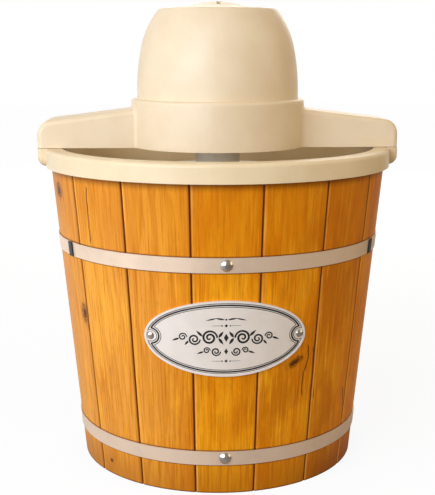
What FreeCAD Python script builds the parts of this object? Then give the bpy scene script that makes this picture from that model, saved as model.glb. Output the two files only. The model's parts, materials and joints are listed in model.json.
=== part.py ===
import FreeCAD, Part
import math
import os
import re
import Sketcher

# Ice cream maker: a wooden bucket with a plastic liner, a turning canister and a motor head that lifts off.
# Frame: origin on the floor under the bucket's centre, +Z up, front towards -Y, the head's arms along X.
# Millimetres and degrees. An expression is a text of sheet names, so each size follows the sheet.

SIZES = [
    # Staves and board
    ("bucket_base_radius", 121.8, "outer radius of the bucket at the floor"),
    ("bucket_taper", 0.0934, "radius gained for each millimetre of height"),
    ("stave_count", 16, "staves round the bucket"),
    ("stave_height", 270.5, "length of a stave, its top hidden in the rim"),
    ("stave_thickness", 8.0, "thickness of a stave"),
    ("seam_bevel", 1.1, "bevel on the outer edges of a stave"),
    ("board_lift", 8.0, "floor to the underside of the bottom board"),
    ("board_thickness", 12.0, "thickness of the bottom board"),
    ("croze_depth", 3.5, "depth of the groove that holds the board"),
    # Clearances
    ("fit_gap", 0.3, "clearance between pieces that only sit together"),
    ("run_gap", 0.05, "radial clearance of a shaft or bore that turns"),
    ("seat_gap", 0.02, "clearance of a pressed piece"),
    ("wrap_gap", 0.12, "clearance of sheet wrapped round the staves"),
    # Liner, rim and ears
    ("liner_wall", 2.2, "wall of the plastic liner"),
    ("rim_web", 3.4, "web of the rim over the staves' tops"),
    ("rim_wall", 3.3, "wall of the rim's skirt"),
    ("rim_depth", 15.7, "height of the rim's skirt"),
    ("rim_round", 3.5, "rounding of the rim's top edge"),
    ("ear_reach", 4.8, "rim to the end of an ear and of an arm"),
    ("arm_width", 54.0, "front to back size of an arm and of an ear"),
    ("ear_round", 8.0, "rounding under the end of an ear"),
    ("ear_edge", 3.0, "rounding of an ear's upright corners"),
    ("slot_wall", 2.7, "wall outside the slot in an ear"),
    ("slot_width", 4.0, "slot in an ear, across"),
    ("slot_length", 24.0, "slot in an ear, along"),
    ("slot_depth", 12.0, "depth of the slot in an ear"),
    ("nub_radius", 9.0, "pivot nub in the liner's floor"),
    ("nub_height", 8.0, "height of the pivot nub"),
    ("nub_bevel", 2.0, "bevel on the pivot nub"),
    # Hoops, rivets and nameplate
    ("hoop_width", 12.1, "height of a hoop"),
    ("hoop_thickness", 0.8, "sheet of a hoop"),
    ("upper_hoop_height", 188.6, "lower edge of the upper hoop"),
    ("lower_hoop_height", 25.5, "lower edge of the lower hoop"),
    ("clip_angle", 62.6, "front of the bucket to a joining clip"),
    ("clip_span", 2.8, "angle that a clip covers"),
    ("clip_thickness", 0.9, "thickness of a clip"),
    ("hoop_split", 0.6, "angle left open between two hoop halves"),
    ("rivet_radius", 5.0, "head of a hoop rivet"),
    ("rivet_height", 2.6, "height of a hoop rivet's head"),
    ("rivet_shank", 2.0, "shank radius of a rivet"),
    ("rivet_length", 6.0, "shank length of a rivet"),
    ("plate_width", 128.4, "nameplate, straight across"),
    ("plate_height", 63.0, "nameplate, upright"),
    ("plate_level", 135.0, "height of the nameplate's centre"),
    ("plate_thickness", 1.0, "sheet of the nameplate"),
    ("plate_border", 1.6, "width of the nameplate's raised border"),
    ("plate_border_rise", 0.8, "rise of the nameplate's border"),
    ("plate_rivet_inset", 5.2, "end of the nameplate to its rivet"),
    ("plate_rivet_radius", 3.3, "head of a nameplate rivet"),
    ("plate_rivet_height", 1.6, "height of a nameplate rivet's head"),
    # Canister, lid and dasher
    ("can_radius", 81.0, "outer radius of the canister"),
    ("can_wall", 1.0, "wall of the canister"),
    ("can_headroom", 25.4, "canister's edge to the underside of the head"),
    ("can_clear", 5.0, "liner floor to the canister's base"),
    ("bead_size", 2.0, "rolled edge of the canister"),
    ("lid_wall", 2.5, "wall of the lid"),
    ("lid_skirt", 4.0, "skirt of the lid"),
    ("lid_hub_radius", 19.5, "round foot of the lid's hub"),
    ("hex_radius", 17.0, "drive hexagon, centre to corner"),
    ("hex_length", 13.0, "length of the drive hexagon"),
    ("stem_radius", 6.0, "dasher stem"),
    ("stem_square", 8.0, "square tip of the dasher stem"),
    ("stem_grip", 10.5, "length of the square tip"),
    ("dasher_foot_radius", 15.0, "foot of the dasher"),
    ("dasher_foot_height", 12.0, "height of the dasher's foot"),
    ("paddle_clear", 6.0, "outer edge of a paddle to the canister"),
    ("paddle_thickness", 3.0, "thickness of a paddle"),
    ("paddle_frame", 15.0, "width of a paddle's bars"),
    ("paddle_rows", 4, "windows in a paddle, one above the other"),
    ("paddle_margin", 12.0, "paddle ends to the foot and to the lid"),
    ("blade_width", 10.0, "width of a scraper blade"),
    ("blade_thickness", 2.5, "thickness of a scraper blade"),
    ("blade_gap", 0.6, "scraper blade to the canister's wall"),
    # Head: housing, dome and base plate
    ("head_gap", 0.4, "rim to the head that rests on it"),
    ("shell_wall", 2.6, "wall of the head's mouldings"),
    ("collar_radius", 75.7, "outer radius of the collar"),
    ("collar_height", 40.9, "height of the collar"),
    ("collar_round", 3.2, "rounding of the collar's ledge"),
    ("arm_root_height", 32.2, "height of an arm where it meets the collar"),
    ("arm_tip_height", 22.4, "height of an arm at its end"),
    ("arm_corner", 12.6, "rounding of an arm's end"),
    ("arm_edge", 4.5, "rounding along an arm's top edges"),
    ("arm_blend", 4.0, "hollow rounding between arm and collar"),
    ("collar_ledge", 5.3, "ledge of the collar round the dome"),
    ("lip_inset", 3.2, "dome's outside to the opening in the collar"),
    ("spigot_length", 3.2, "lip of the dome inside the collar"),
    ("dome_straight", 6.5, "straight foot of the dome"),
    ("waist_inset", 3.6, "dome's narrowing up to where its curve tightens"),
    ("waist_rise", 36.0, "height of that stretch"),
    ("waist_bulge", 0.9, "bulge of that stretch"),
    ("shoulder_inset", 15.6, "dome's narrowing from there to the edge of its top"),
    ("shoulder_rise", 33.6, "height of that stretch"),
    ("shoulder_bulge", 2.3, "bulge of that stretch"),
    ("shoulder_round", 2.0, "rounding of the edge of the dome's top"),
    ("hump_inset", 15.2, "edge of the dome's top to the hump"),
    ("hump_foot_rise", 1.4, "rise from that edge to the hump"),
    ("hump_hollow_rise", 2.9, "rise of the hump's hollow part"),
    ("hump_hollow_bulge", 0.48, "bulge of the hump's hollow part"),
    ("hump_round_rise", 2.4, "rise of the hump's round part"),
    ("hump_round_bulge", 0.6, "bulge of the hump's round part"),
    ("vent_width", 3.2, "vent slot in the hump, across"),
    ("vent_start", 6.0, "centre to the near end of the vent slot"),
    ("vent_length", 15.0, "length of the vent slot"),
    ("base_thickness", 3.0, "base plate of the head"),
    ("boss_margin", 4.5, "boss screw to the inner face of its boss"),
    ("boss_width", 9.0, "width of a boss"),
    ("screw_inset", 4.0, "edge of the gear plate to a boss screw"),
    ("screw_radius", 1.75, "shank radius of a screw"),
    ("screw_head_radius", 3.4, "head radius of a screw"),
    ("screw_head_height", 2.2, "head height of a screw"),
    ("screw_length", 10.0, "shank length of a screw"),
    ("gland_rise", 16.4, "underside of the head to the cord gland"),
    ("gland_radius", 6.5, "neck of the cord gland"),
    ("gland_bore", 3.4, "bore of the cord gland"),
    ("gland_flange", 9.5, "flange radius of the cord gland"),
    ("gland_flange_length", 3.0, "flange thickness of the cord gland"),
    ("gland_lip", 8.0, "inner lip radius of the cord gland"),
    # Gear train: clearance, teeth and face widths
    ("gear_clear", 7.5, "second gear to the inner face of the collar"),
    ("pinion_teeth", 12, "teeth of the motor pinion"),
    ("first_large_teeth", 48, "large teeth of the first gear"),
    ("first_small_teeth", 12, "small teeth of the first gear"),
    ("second_large_teeth", 42, "large teeth of the second gear"),
    ("second_small_teeth", 14, "small teeth of the second gear"),
    ("output_teeth", 56, "teeth of the output gear"),
    ("face_width", 6.0, "face width of the first two stages"),
    ("output_face", 8.0, "face width of the output gear"),
    ("layer_gap", 2.0, "space between two layers of gears"),
    ("pin_radius", 3.0, "radius of a gear pin"),
    ("gear_hub_radius", 6.0, "hub radius of a gear"),
    ("pin_head_height", 1.1, "head of the first gear's pin"),
    ("socket_wall", 3.6, "wall round the hexagonal socket"),
    ("drive_hub_lift", 0.4, "base plate's underside to the drive hub's end"),
    ("socket_depth", 9.0, "depth of the hexagonal socket"),
    ("socket_web", 2.0, "web over the hexagonal socket"),
    ("thrust_lip", 4.0, "flange of the drive hub"),
    ("thrust_thickness", 2.0, "thickness of that flange"),
    ("sleeve_wall", 4.0, "sleeve of the drive hub inside the output gear"),
    ("post_wall", 4.9, "wall of the stem holder's post"),
    ("holder_thickness", 4.0, "arm of the stem holder"),
    ("holder_post_x", 30.0, "base plate post, sideways"),
    ("holder_post_y", 42.0, "base plate post, towards the front"),
    ("holder_post_radius", 4.5, "radius of a base plate post"),
    # Gear plate and motor
    ("plate_margin", 0.7, "dome's lip to the gear plate"),
    ("gear_plate_thickness", 3.0, "thickness of the gear plate"),
    ("shaft_radius", 2.5, "motor shaft"),
    ("bush_radius", 6.0, "outer radius of a motor bush"),
    ("bush_length", 8.0, "length of a motor bush"),
    ("spacer_radius", 4.0, "spacer under and over the stator"),
    ("lower_spacer_length", 12.0, "gear plate to stator"),
    ("upper_spacer_length", 9.0, "stator to upper bracket"),
    ("stator_radius", 36.0, "outer radius of the stator"),
    ("stator_ring", 7.0, "ring of the stator"),
    ("stator_height", 24.0, "height of the stator and rotor core"),
    ("pole_width", 16.0, "width of a stator pole"),
    ("coil_thickness", 5.0, "winding round a pole"),
    ("coil_length", 6.0, "winding along a pole"),
    ("rotor_radius", 17.0, "rotor core"),
    ("air_gap", 0.4, "rotor to stator"),
    ("bracket_width", 16.0, "width of the upper bracket"),
    ("bracket_thickness", 3.0, "thickness of the upper bracket"),
    ("fan_radius", 28.0, "cooling fan"),
    ("fan_height", 9.0, "height of the cooling fan"),
    ("fan_disc", 1.6, "disc and blade thickness of the fan"),
    ("fan_hub", 6.0, "hub radius of the fan"),
    ("fan_blades", 8, "blades of the fan"),
    ("fan_lift", 2.0, "upper bush to fan"),
]

# Module of a stage, as a share of the next stage's
MODULE_STEP = 0.8

# Shape of the gear teeth, as shares of the module
ADDENDUM = 0.85
DEDENDUM = 1.15
TOOTH_SHARE = 0.88
PRESSURE_ANGLE = math.radians(20)

# Reach of a cutter past the face that it starts from
CUT = 1.0

doc = FreeCAD.newDocument("IceCreamMaker")
sheet = doc.addObject("Spreadsheet::Sheet", "Sizes")
for row, (alias, number, meaning) in enumerate(SIZES, start=1):
    sheet.set(f"A{row}", meaning)
    sheet.set(f"B{row}", str(number))
    sheet.setAlias(f"B{row}", alias)
doc.recompute()

nodes = {}


# Expressions

def value(expression):
    """The number that an expression has now."""
    return float(sheet.evalExpression(expression))


def bind(item, place, expression):
    """Tie a property to the sheet."""
    item.setExpression(place, re.sub(r"[a-z]+(?:_[a-z]+)+", r"Sizes.\g<0>", expression))


def outer_radius(height):
    """Outer radius of the staves at a height."""
    return f"(bucket_base_radius + bucket_taper * ({height}))"


def bulged(across, along, bulge):
    """Radius of an arc over a chord with these two legs, that stands out from the chord by bulge."""
    return f"((({across}) ^ 2 + ({along}) ^ 2) / (8 * {bulge}) + {bulge} / 2)"


def liner_radius(height):
    """Outer radius of the liner's wall at a height."""
    return f"({outer_radius(height)} - stave_thickness - fit_gap)"


# Sketches and features

def node(name, item):
    """Keep an object as a finished piece."""
    item.Label = name
    nodes[name] = item
    return item


def new_body(name):
    return doc.addObject("PartDesign::Body", name)


def new_sketch(body, plane, lift="0", turn=0.0):
    """A sketch on one of the body's own planes, lifted along its normal and turned in its plane."""
    support = [item for item in body.Origin.OriginFeatures if item.Role == plane][0]
    sketch = body.newObject("Sketcher::SketchObject", body.Name + "Sketch")
    sketch.AttachmentSupport = (support, [""])
    sketch.MapMode = "FlatFace"
    sketch.AttachmentOffset = FreeCAD.Placement(FreeCAD.Vector(), FreeCAD.Rotation(turn, 0, 0))
    bind(sketch, ".AttachmentOffset.Base.z", lift)
    return sketch


def arc_between(start, end, radius, side):
    """The short arc from start to end. Side 1 has its centre to the left of the way, -1 to the right."""
    along = end - start
    left = FreeCAD.Vector(-along.y, along.x, 0).normalize()
    rise = math.sqrt(radius ** 2 - (along.Length / 2) ** 2)
    centre = (start + end) * 0.5 + left * (side * rise)
    first, last = (start, end) if side > 0 else (end, start)
    circle = Part.Circle(centre, FreeCAD.Vector(0, 0, 1), radius)
    return Part.ArcOfCircle(circle, circle.parameter(first), circle.parameter(last))


def outline(sketch, corners):
    """A closed outline. A corner is (x, y), or (x, y, radius, side) where an arc arrives at it."""
    points = [FreeCAD.Vector(value(corner[0]), value(corner[1]), 0) for corner in corners]
    count = len(corners)
    base = sketch.GeometryCount
    geometry = []
    ends = []
    for index in range(count):
        following = (index + 1) % count
        start, end, corner = points[index], points[following], corners[following]
        if len(corner) == 2:
            geometry.append(Part.LineSegment(start, end))
            ends.append((1, 2))
        else:
            geometry.append(arc_between(start, end, value(corner[2]), corner[3]))
            ends.append((1, 2) if corner[3] > 0 else (2, 1))
    sketch.addGeometry(geometry)
    constraints = []
    ties = []
    for index, corner in enumerate(corners):
        following = (index + 1) % count
        here, after = base + index, base + following
        constraints.append(Sketcher.Constraint("Coincident", here, ends[index][1], after, ends[following][0]))
        ties.append(None)
        for kind, text, number in (("DistanceX", corner[0], points[index].x),
                                   ("DistanceY", corner[1], points[index].y)):
            constraints.append(Sketcher.Constraint(kind, -1, 1, here, ends[index][0], number))
            ties.append(text)
        if len(corners[following]) > 2:
            radius = corners[following][2]
            constraints.append(Sketcher.Constraint("Radius", here, value(radius)))
            ties.append(radius)
    tie_constraints(sketch, constraints, ties)


def circles(sketch, centres, radius):
    """Circles of one radius round centres (x, y)."""
    for x, y in centres:
        centre = FreeCAD.Vector(value(x), value(y), 0)
        index = sketch.addGeometry(Part.Circle(centre, FreeCAD.Vector(0, 0, 1), value(radius)))
        constraints = [Sketcher.Constraint("Radius", index, value(radius)),
                       Sketcher.Constraint("DistanceX", -1, 1, index, 3, centre.x),
                       Sketcher.Constraint("DistanceY", -1, 1, index, 3, centre.y)]
        tie_constraints(sketch, constraints, [radius, x, y])


def tie_constraints(sketch, constraints, ties):
    first = sketch.ConstraintCount
    sketch.addConstraint(constraints)
    for offset, text in enumerate(ties):
        if text is not None:
            bind(sketch, f"Constraints[{first + offset}]", text)


def rectangle(x_low, x_high, y_low, y_high):
    return [(x_low, y_low), (x_high, y_low), (x_high, y_high), (x_low, y_high)]


def revolve(body, corners, cut=False, angle="360"):
    """Turn an outline of (radius, height) corners about Z, added or cut away."""
    sketch = new_sketch(body, "XZ_Plane")
    outline(sketch, corners)
    kind = "PartDesign::Groove" if cut else "PartDesign::Revolution"
    feature = body.newObject(kind, body.Name + "Turn")
    feature.Profile = sketch
    feature.ReferenceAxis = (sketch, ["V_Axis"])
    feature.Midplane = True
    bind(feature, "Angle", angle)
    return feature


def pull(body, sketch, length, cut=False, middle=False, down=False):
    """Pad a sketch, or pocket it, along its normal."""
    feature = body.newObject("PartDesign::Pocket" if cut else "PartDesign::Pad", body.Name + "Pull")
    feature.Profile = sketch
    feature.Midplane = middle
    # A pocket cuts against its sketch's normal until it is reversed
    feature.Reversed = down != cut
    bind(feature, "Length", length)
    return feature


def repeat(body, features, count):
    """Repeat features round Z."""
    pattern = body.newObject("PartDesign::PolarPattern", body.Name + "Repeat")
    pattern.Originals = features
    pattern.Axis = (features[0].Profile[0], ["N_Axis"])
    pattern.Angle = 360
    bind(pattern, "Occurrences", count)
    body.Tip = pattern
    return pattern


def soften(body, size, wanted, kind="Fillet"):
    """Round or bevel the edges of the body that wanted picks."""
    doc.recompute()
    base = body.Tip
    picked = [f"Edge{number}" for number, edge in enumerate(base.Shape.Edges, start=1) if wanted(edge)]
    feature = body.newObject("PartDesign::" + kind, body.Name + kind)
    feature.Base = (base, picked)
    bind(feature, "Radius" if kind == "Fillet" else "Size", size)
    return feature


def turned(name, corners, angle="360"):
    """A body made by turning one outline."""
    body = new_body(name)
    revolve(body, corners, angle=angle)
    return body


def cylinder(name, radius, length, x="0", y="0", z="0"):
    item = doc.addObject("Part::Cylinder", name)
    bind(item, "Radius", radius)
    bind(item, "Height", length)
    for axis, text in zip("xyz", (x, y, z)):
        bind(item, f".Placement.Base.{axis}", text)
    return item


def block(name, length, width, tall, x="0", y="0", z="0"):
    """A box, centred in X and Y on x and y, standing on z."""
    item = doc.addObject("Part::Box", name)
    for place, text in (("Length", length), ("Width", width), ("Height", tall)):
        bind(item, place, text)
    bind(item, ".Placement.Base.x", f"{x} - ({length}) / 2")
    bind(item, ".Placement.Base.y", f"{y} - ({width}) / 2")
    bind(item, ".Placement.Base.z", z)
    return item


def cone(name, radius_low, radius_high, tall, z, angle="360", start="0"):
    item = doc.addObject("Part::Cone", name)
    bind(item, "Radius1", radius_low)
    bind(item, "Radius2", radius_high)
    bind(item, "Height", tall)
    bind(item, "Angle", angle)
    item.Placement = FreeCAD.Placement(FreeCAD.Vector(), FreeCAD.Rotation(FreeCAD.Vector(0, 0, 1), 0))
    bind(item, ".Placement.Base.z", z)
    bind(item, ".Placement.Rotation.Angle", start)
    return item


def joined(kind, name, items):
    """A Part::MultiFuse, Part::Compound or Part::MultiCommon of items."""
    item = doc.addObject("Part::" + kind, name)
    if kind == "Compound":
        item.Links = items
    else:
        item.Shapes = items
    return item


def cut(name, base, tools):
    item = doc.addObject("Part::Cut", name)
    item.Base = base
    item.Tool = tools[0] if len(tools) == 1 else joined("MultiFuse", name + "Tools", tools)
    return item


def near(first, second):
    return abs(first - second) < 0.01


# Levels, from the floor up

BOARD_TOP = "(board_lift + board_thickness)"
FLOOR_TOP = f"({BOARD_TOP} + liner_wall)"
RIM_TOP = "(stave_height + fit_gap + rim_web)"
RIM_LOW = f"({RIM_TOP} - rim_depth)"
HEAD_BASE = f"({RIM_TOP} + head_gap)"
CAN_BASE = f"({FLOOR_TOP} + can_clear)"
CAN_TOP = f"({HEAD_BASE} - can_headroom)"
CUP_UNDER = f"({FLOOR_TOP} + nub_height + fit_gap)"
BASE_TOP = f"({HEAD_BASE} + base_thickness)"
DRIVE_LOW = f"({HEAD_BASE} + drive_hub_lift)"
SOCKET_TOP = f"({DRIVE_LOW} + socket_depth)"
OUTPUT_LOW = f"({SOCKET_TOP} + socket_web)"
OUTPUT_TOP = f"({OUTPUT_LOW} + output_face)"
SECOND_LOW = f"({OUTPUT_TOP} + layer_gap)"
SECOND_TOP = f"({SECOND_LOW} + face_width)"
FIRST_LOW = f"({SECOND_TOP} + layer_gap)"
FIRST_TOP = f"({FIRST_LOW} + face_width)"
PLATE_LOW = f"({FIRST_TOP} + layer_gap)"
PLATE_TOP = f"({PLATE_LOW} + gear_plate_thickness)"
STATOR_LOW = f"({PLATE_TOP} + lower_spacer_length)"
STATOR_TOP = f"({STATOR_LOW} + stator_height)"
BRACKET_LOW = f"({STATOR_TOP} + upper_spacer_length)"
BRACKET_TOP = f"({BRACKET_LOW} + bracket_thickness)"
LOWER_BUSH_LOW = f"({PLATE_LOW} - fit_gap)"
UPPER_BUSH_LOW = f"({BRACKET_TOP} - bush_length / 2)"
FAN_LOW = f"({UPPER_BUSH_LOW} + bush_length + fan_lift)"
COLLAR_TOP = f"({HEAD_BASE} + collar_height)"
ARM_ROOT = f"({HEAD_BASE} + arm_root_height)"
ARM_TIP = f"({HEAD_BASE} + arm_tip_height)"
DOME_FOOT = f"({COLLAR_TOP} + dome_straight)"
WAIST = f"({DOME_FOOT} + waist_rise)"
SHOULDER = f"({WAIST} + shoulder_rise)"
HUMP_FOOT = f"({SHOULDER} + hump_foot_rise)"
HUMP_MIDDLE = f"({HUMP_FOOT} + hump_hollow_rise)"
DOME_TOP = f"({HUMP_MIDDLE} + hump_round_rise)"
GLAND_HEIGHT = f"({HEAD_BASE} + gland_rise)"

# Radii and places, from the middle of the part out

POST_RADIUS = "((stem_square / 2 + fit_gap) * sqrt(2) + post_wall)"
SLEEVE_RADIUS = f"({POST_RADIUS} + run_gap + sleeve_wall)"
SOCKET_RADIUS = "(hex_radius + fit_gap / cos(30))"
HUB_RADIUS = f"({SOCKET_RADIUS} + socket_wall)"
PADDLE_REACH = "(can_radius - can_wall - paddle_clear)"
DOME_RADIUS = "(collar_radius - collar_ledge)"
WAIST_RADIUS = f"({DOME_RADIUS} - waist_inset)"
SHOULDER_RADIUS = f"({WAIST_RADIUS} - shoulder_inset)"
HUMP_RADIUS = f"({SHOULDER_RADIUS} - hump_inset)"
OPENING_RADIUS = f"({DOME_RADIUS} - lip_inset)"
LIP_RADIUS = f"({OPENING_RADIUS} - fit_gap)"
PLATE_RADIUS = f"({LIP_RADIUS} - shell_wall - plate_margin)"
SCREW_CIRCLE = f"({PLATE_RADIUS} - screw_inset)"
RIM_RADIUS = f"({outer_radius('stave_height')} + fit_gap + rim_wall)"
HALF_WIDTH = f"({RIM_RADIUS} + ear_reach)"
SLOT_CENTRE = f"({HALF_WIDTH} - slot_wall - slot_width / 2)"
LID_TOP = f"({SOCKET_TOP} - 2 * drive_hub_lift)"
STEM_TOP = f"({LID_TOP} + drive_hub_lift)"
BOLT_CIRCLE = "(stator_radius - stator_ring / 2)"

# Gear modules, from the room inside the collar

GEAR_ROOM = "(collar_radius - shell_wall - gear_clear)"
STAGE_SPREAD = f"{MODULE_STEP} * (second_large_teeth / 2 + {ADDENDUM})"
GEAR_SPREAD = f"((second_small_teeth + output_teeth) / 2 + {STAGE_SPREAD})"
THIRD_MODULE = f"({GEAR_ROOM} / {GEAR_SPREAD})"
SECOND_MODULE = f"({MODULE_STEP} * {THIRD_MODULE})"
FIRST_MODULE = f"({MODULE_STEP} * {SECOND_MODULE})"


# Bucket

def rivet(name, head_radius, head_height, level, angle, lift):
    """A domed rivet square to the bucket's side, and the hole that its shank needs."""
    crown = f"(({head_radius}) ^ 2 + ({head_height}) ^ 2) / (2 * {head_height})"
    body = turned(name, [("0", "-rivet_length"), ("rivet_shank", "-rivet_length"), ("rivet_shank", "0"),
                         (head_radius, "0"), ("0", head_height, crown, 1)])
    hole = doc.addObject("Part::Cylinder", name + "Hole")
    bind(hole, "Radius", "rivet_shank + seat_gap")
    bind(hole, "Height", "2 * rivet_length")
    lean = math.degrees(math.atan(value("bucket_taper")))
    turn = FreeCAD.Rotation(FreeCAD.Vector(0, 0, 1), angle)
    face = turn.multiply(FreeCAD.Rotation(FreeCAD.Vector(1, 0, 0), 90 + lean))
    radius = value(f"{outer_radius(level)} + {lift}")
    spot = turn.multVec(FreeCAD.Vector(0, -radius, 0)) + FreeCAD.Vector(0, 0, value(level))
    body.Placement = FreeCAD.Placement(spot, face)
    bottom = face.multVec(FreeCAD.Vector(0, 0, value("-rivet_length - run_gap")))
    hole.Placement = FreeCAD.Placement(spot + bottom, face)
    return body, hole


def make_rivets():
    """The rivets, and the holes that belong to the stave, hoop or nameplate under each of them."""
    hoop_lift = "hoop_thickness + wrap_gap + run_gap"
    hoops = [rivet(name, "rivet_radius", "rivet_height", f"{level} + hoop_width / 2", 0, hoop_lift)
             for name, level in (("UpperRivet", "upper_hoop_height"), ("LowerRivet", "lower_hoop_height"))]
    reach = value("plate_width / 2 - plate_rivet_inset")
    angle = math.degrees(math.asin(reach / value(outer_radius("plate_level"))))
    plate_lift = "plate_thickness + wrap_gap + run_gap"
    plates = [rivet(name, "plate_rivet_radius", "plate_rivet_height", "plate_level", turn, plate_lift)
              for name, turn in (("LeftRivet", -angle), ("RightRivet", angle))]
    node("hoop_rivets", joined("Compound", "HoopRivets", [pair[0] for pair in hoops]))
    node("nameplate_rivets", joined("Compound", "NameplateRivets", [pair[0] for pair in plates]))
    return [pair[1] for pair in hoops], [pair[1] for pair in plates], angle


def make_staves(hoop_holes, plate_holes, plate_angle):
    """Staves with bevelled seams and a groove for the board. The first one is at the front."""
    count = int(value("stave_count"))
    step = 360 / count
    inner = "({} - stave_thickness)".format
    groove = f"({inner(outer_radius('board_lift'))} + croze_depth)"
    profile = [(inner(outer_radius("0")), "0"), (outer_radius("0"), "0"),
               (outer_radius("stave_height"), "stave_height"),
               (inner(outer_radius("stave_height")), "stave_height"),
               (inner(outer_radius(BOARD_TOP)), BOARD_TOP), (groove, BOARD_TOP),
               (groove, "board_lift"), (inner(outer_radius("board_lift")), "board_lift")]
    outside = value(outer_radius("0"))
    for index in range(count):
        body = turned(f"Stave{index + 1:02d}", profile, angle="360 / stave_count")

        def long_outer_edge(edge):
            low = min(edge.Vertexes, key=lambda corner: corner.Z).Point
            tall = edge.BoundBox.ZLength > value("stave_height") - CUT
            return tall and near(math.hypot(low.x, low.y), outside)

        soften(body, "seam_bevel", long_outer_edge, "Chamfer")
        body.Placement = FreeCAD.Placement(FreeCAD.Vector(), FreeCAD.Rotation(FreeCAD.Vector(0, 0, 1), 0))
        bind(body, ".Placement.Rotation.Angle", f"{index} * 360 / stave_count - 90")
        holes = list(hoop_holes) if index == 0 else []
        for hole, side in zip(plate_holes, (-1, 1)):
            if round(side * plate_angle / step) % count == index:
                holes.append(hole)
        name = f"stave_{index + 1:02d}"
        node(name, cut(name, body, holes) if holes else body)


def make_board():
    radius = f"{outer_radius('board_lift')} - stave_thickness + croze_depth - fit_gap"
    node("bottom_board", cylinder("BottomBoard", radius, "board_thickness", z="board_lift"))


def band(name, level, tall, inner_lift, thickness, angle="360", start="0"):
    """A strip of sheet wrapped round the bucket."""
    low, high = outer_radius(level), outer_radius(f"{level} + {tall}")
    outer_lift = f"{inner_lift} + {thickness}"
    outer = cone(name + "Outer", f"{low} + {outer_lift}", f"{high} + {outer_lift}", tall, level, angle, start)
    inner = cone(name + "Inner", f"{low} + {inner_lift}", f"{high} + {inner_lift}", tall, level, angle, start)
    return cut(name, outer, [inner])


def make_hoops(holes):
    upper, lower = holes
    lower_band = band("LowerBand", "lower_hoop_height", "hoop_width", "wrap_gap", "hoop_thickness")
    node("hoop_lower", cut("hoop_lower", lower_band, [lower]))
    front = band("FrontBand", "upper_hoop_height", "hoop_width", "wrap_gap", "hoop_thickness",
                 "2 * clip_angle - hoop_split", "hoop_split / 2 - clip_angle - 90")
    node("hoop_upper_front", cut("hoop_upper_front", front, [upper]))
    rear = band("hoop_upper_rear", "upper_hoop_height", "hoop_width", "wrap_gap", "hoop_thickness",
                "360 - 2 * clip_angle - hoop_split", "clip_angle + hoop_split / 2 - 90")
    node("hoop_upper_rear", rear)
    clips = [band(name, "upper_hoop_height", "hoop_width", "2 * wrap_gap + hoop_thickness", "clip_thickness",
                  "clip_span", f"{side} * clip_angle - clip_span / 2 - 90")
             for name, side in (("LeftClip", "-1"), ("RightClip", "1"))]
    node("hoop_clips", joined("Compound", "HoopClips", clips))


def oval(name, shrink):
    """An upright oval prism in front of the bucket's axis."""
    curve = doc.addObject("Part::Ellipse", name + "Curve")
    bind(curve, "MajorRadius", f"plate_width / 2 - {shrink}")
    bind(curve, "MinorRadius", f"plate_height / 2 - {shrink}")
    curve.Placement = FreeCAD.Placement(FreeCAD.Vector(), FreeCAD.Rotation(FreeCAD.Vector(1, 0, 0), 90))
    bind(curve, ".Placement.Base.z", "plate_level")
    prism = doc.addObject("Part::Extrusion", name)
    prism.Base = curve
    prism.DirMode = "Custom"
    prism.Dir = FreeCAD.Vector(0, -1, 0)
    bind(prism, "LengthFwd", "2 * bucket_base_radius")
    prism.Solid = True
    return prism


def make_nameplate(holes):
    """An oval plate that follows the bucket, with a raised border."""
    level = f"plate_level - plate_height / 2 - {CUT}"
    tall = f"plate_height + 2 * {CUT}"
    sheet_band = band("PlateBand", level, tall, "wrap_gap", "plate_thickness")
    border_band = band("BorderBand", level, tall, "wrap_gap", "plate_thickness + plate_border_rise")
    outer, inner = oval("PlateOval", "0"), oval("BorderOval", "plate_border")
    field = joined("MultiCommon", "PlateField", [sheet_band, outer])
    ring = cut("BorderRing", joined("MultiCommon", "BorderField", [border_band, outer]), [inner])
    plate = joined("MultiFuse", "PlateWhole", [field, ring])
    node("nameplate", cut("nameplate", plate, holes))


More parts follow.
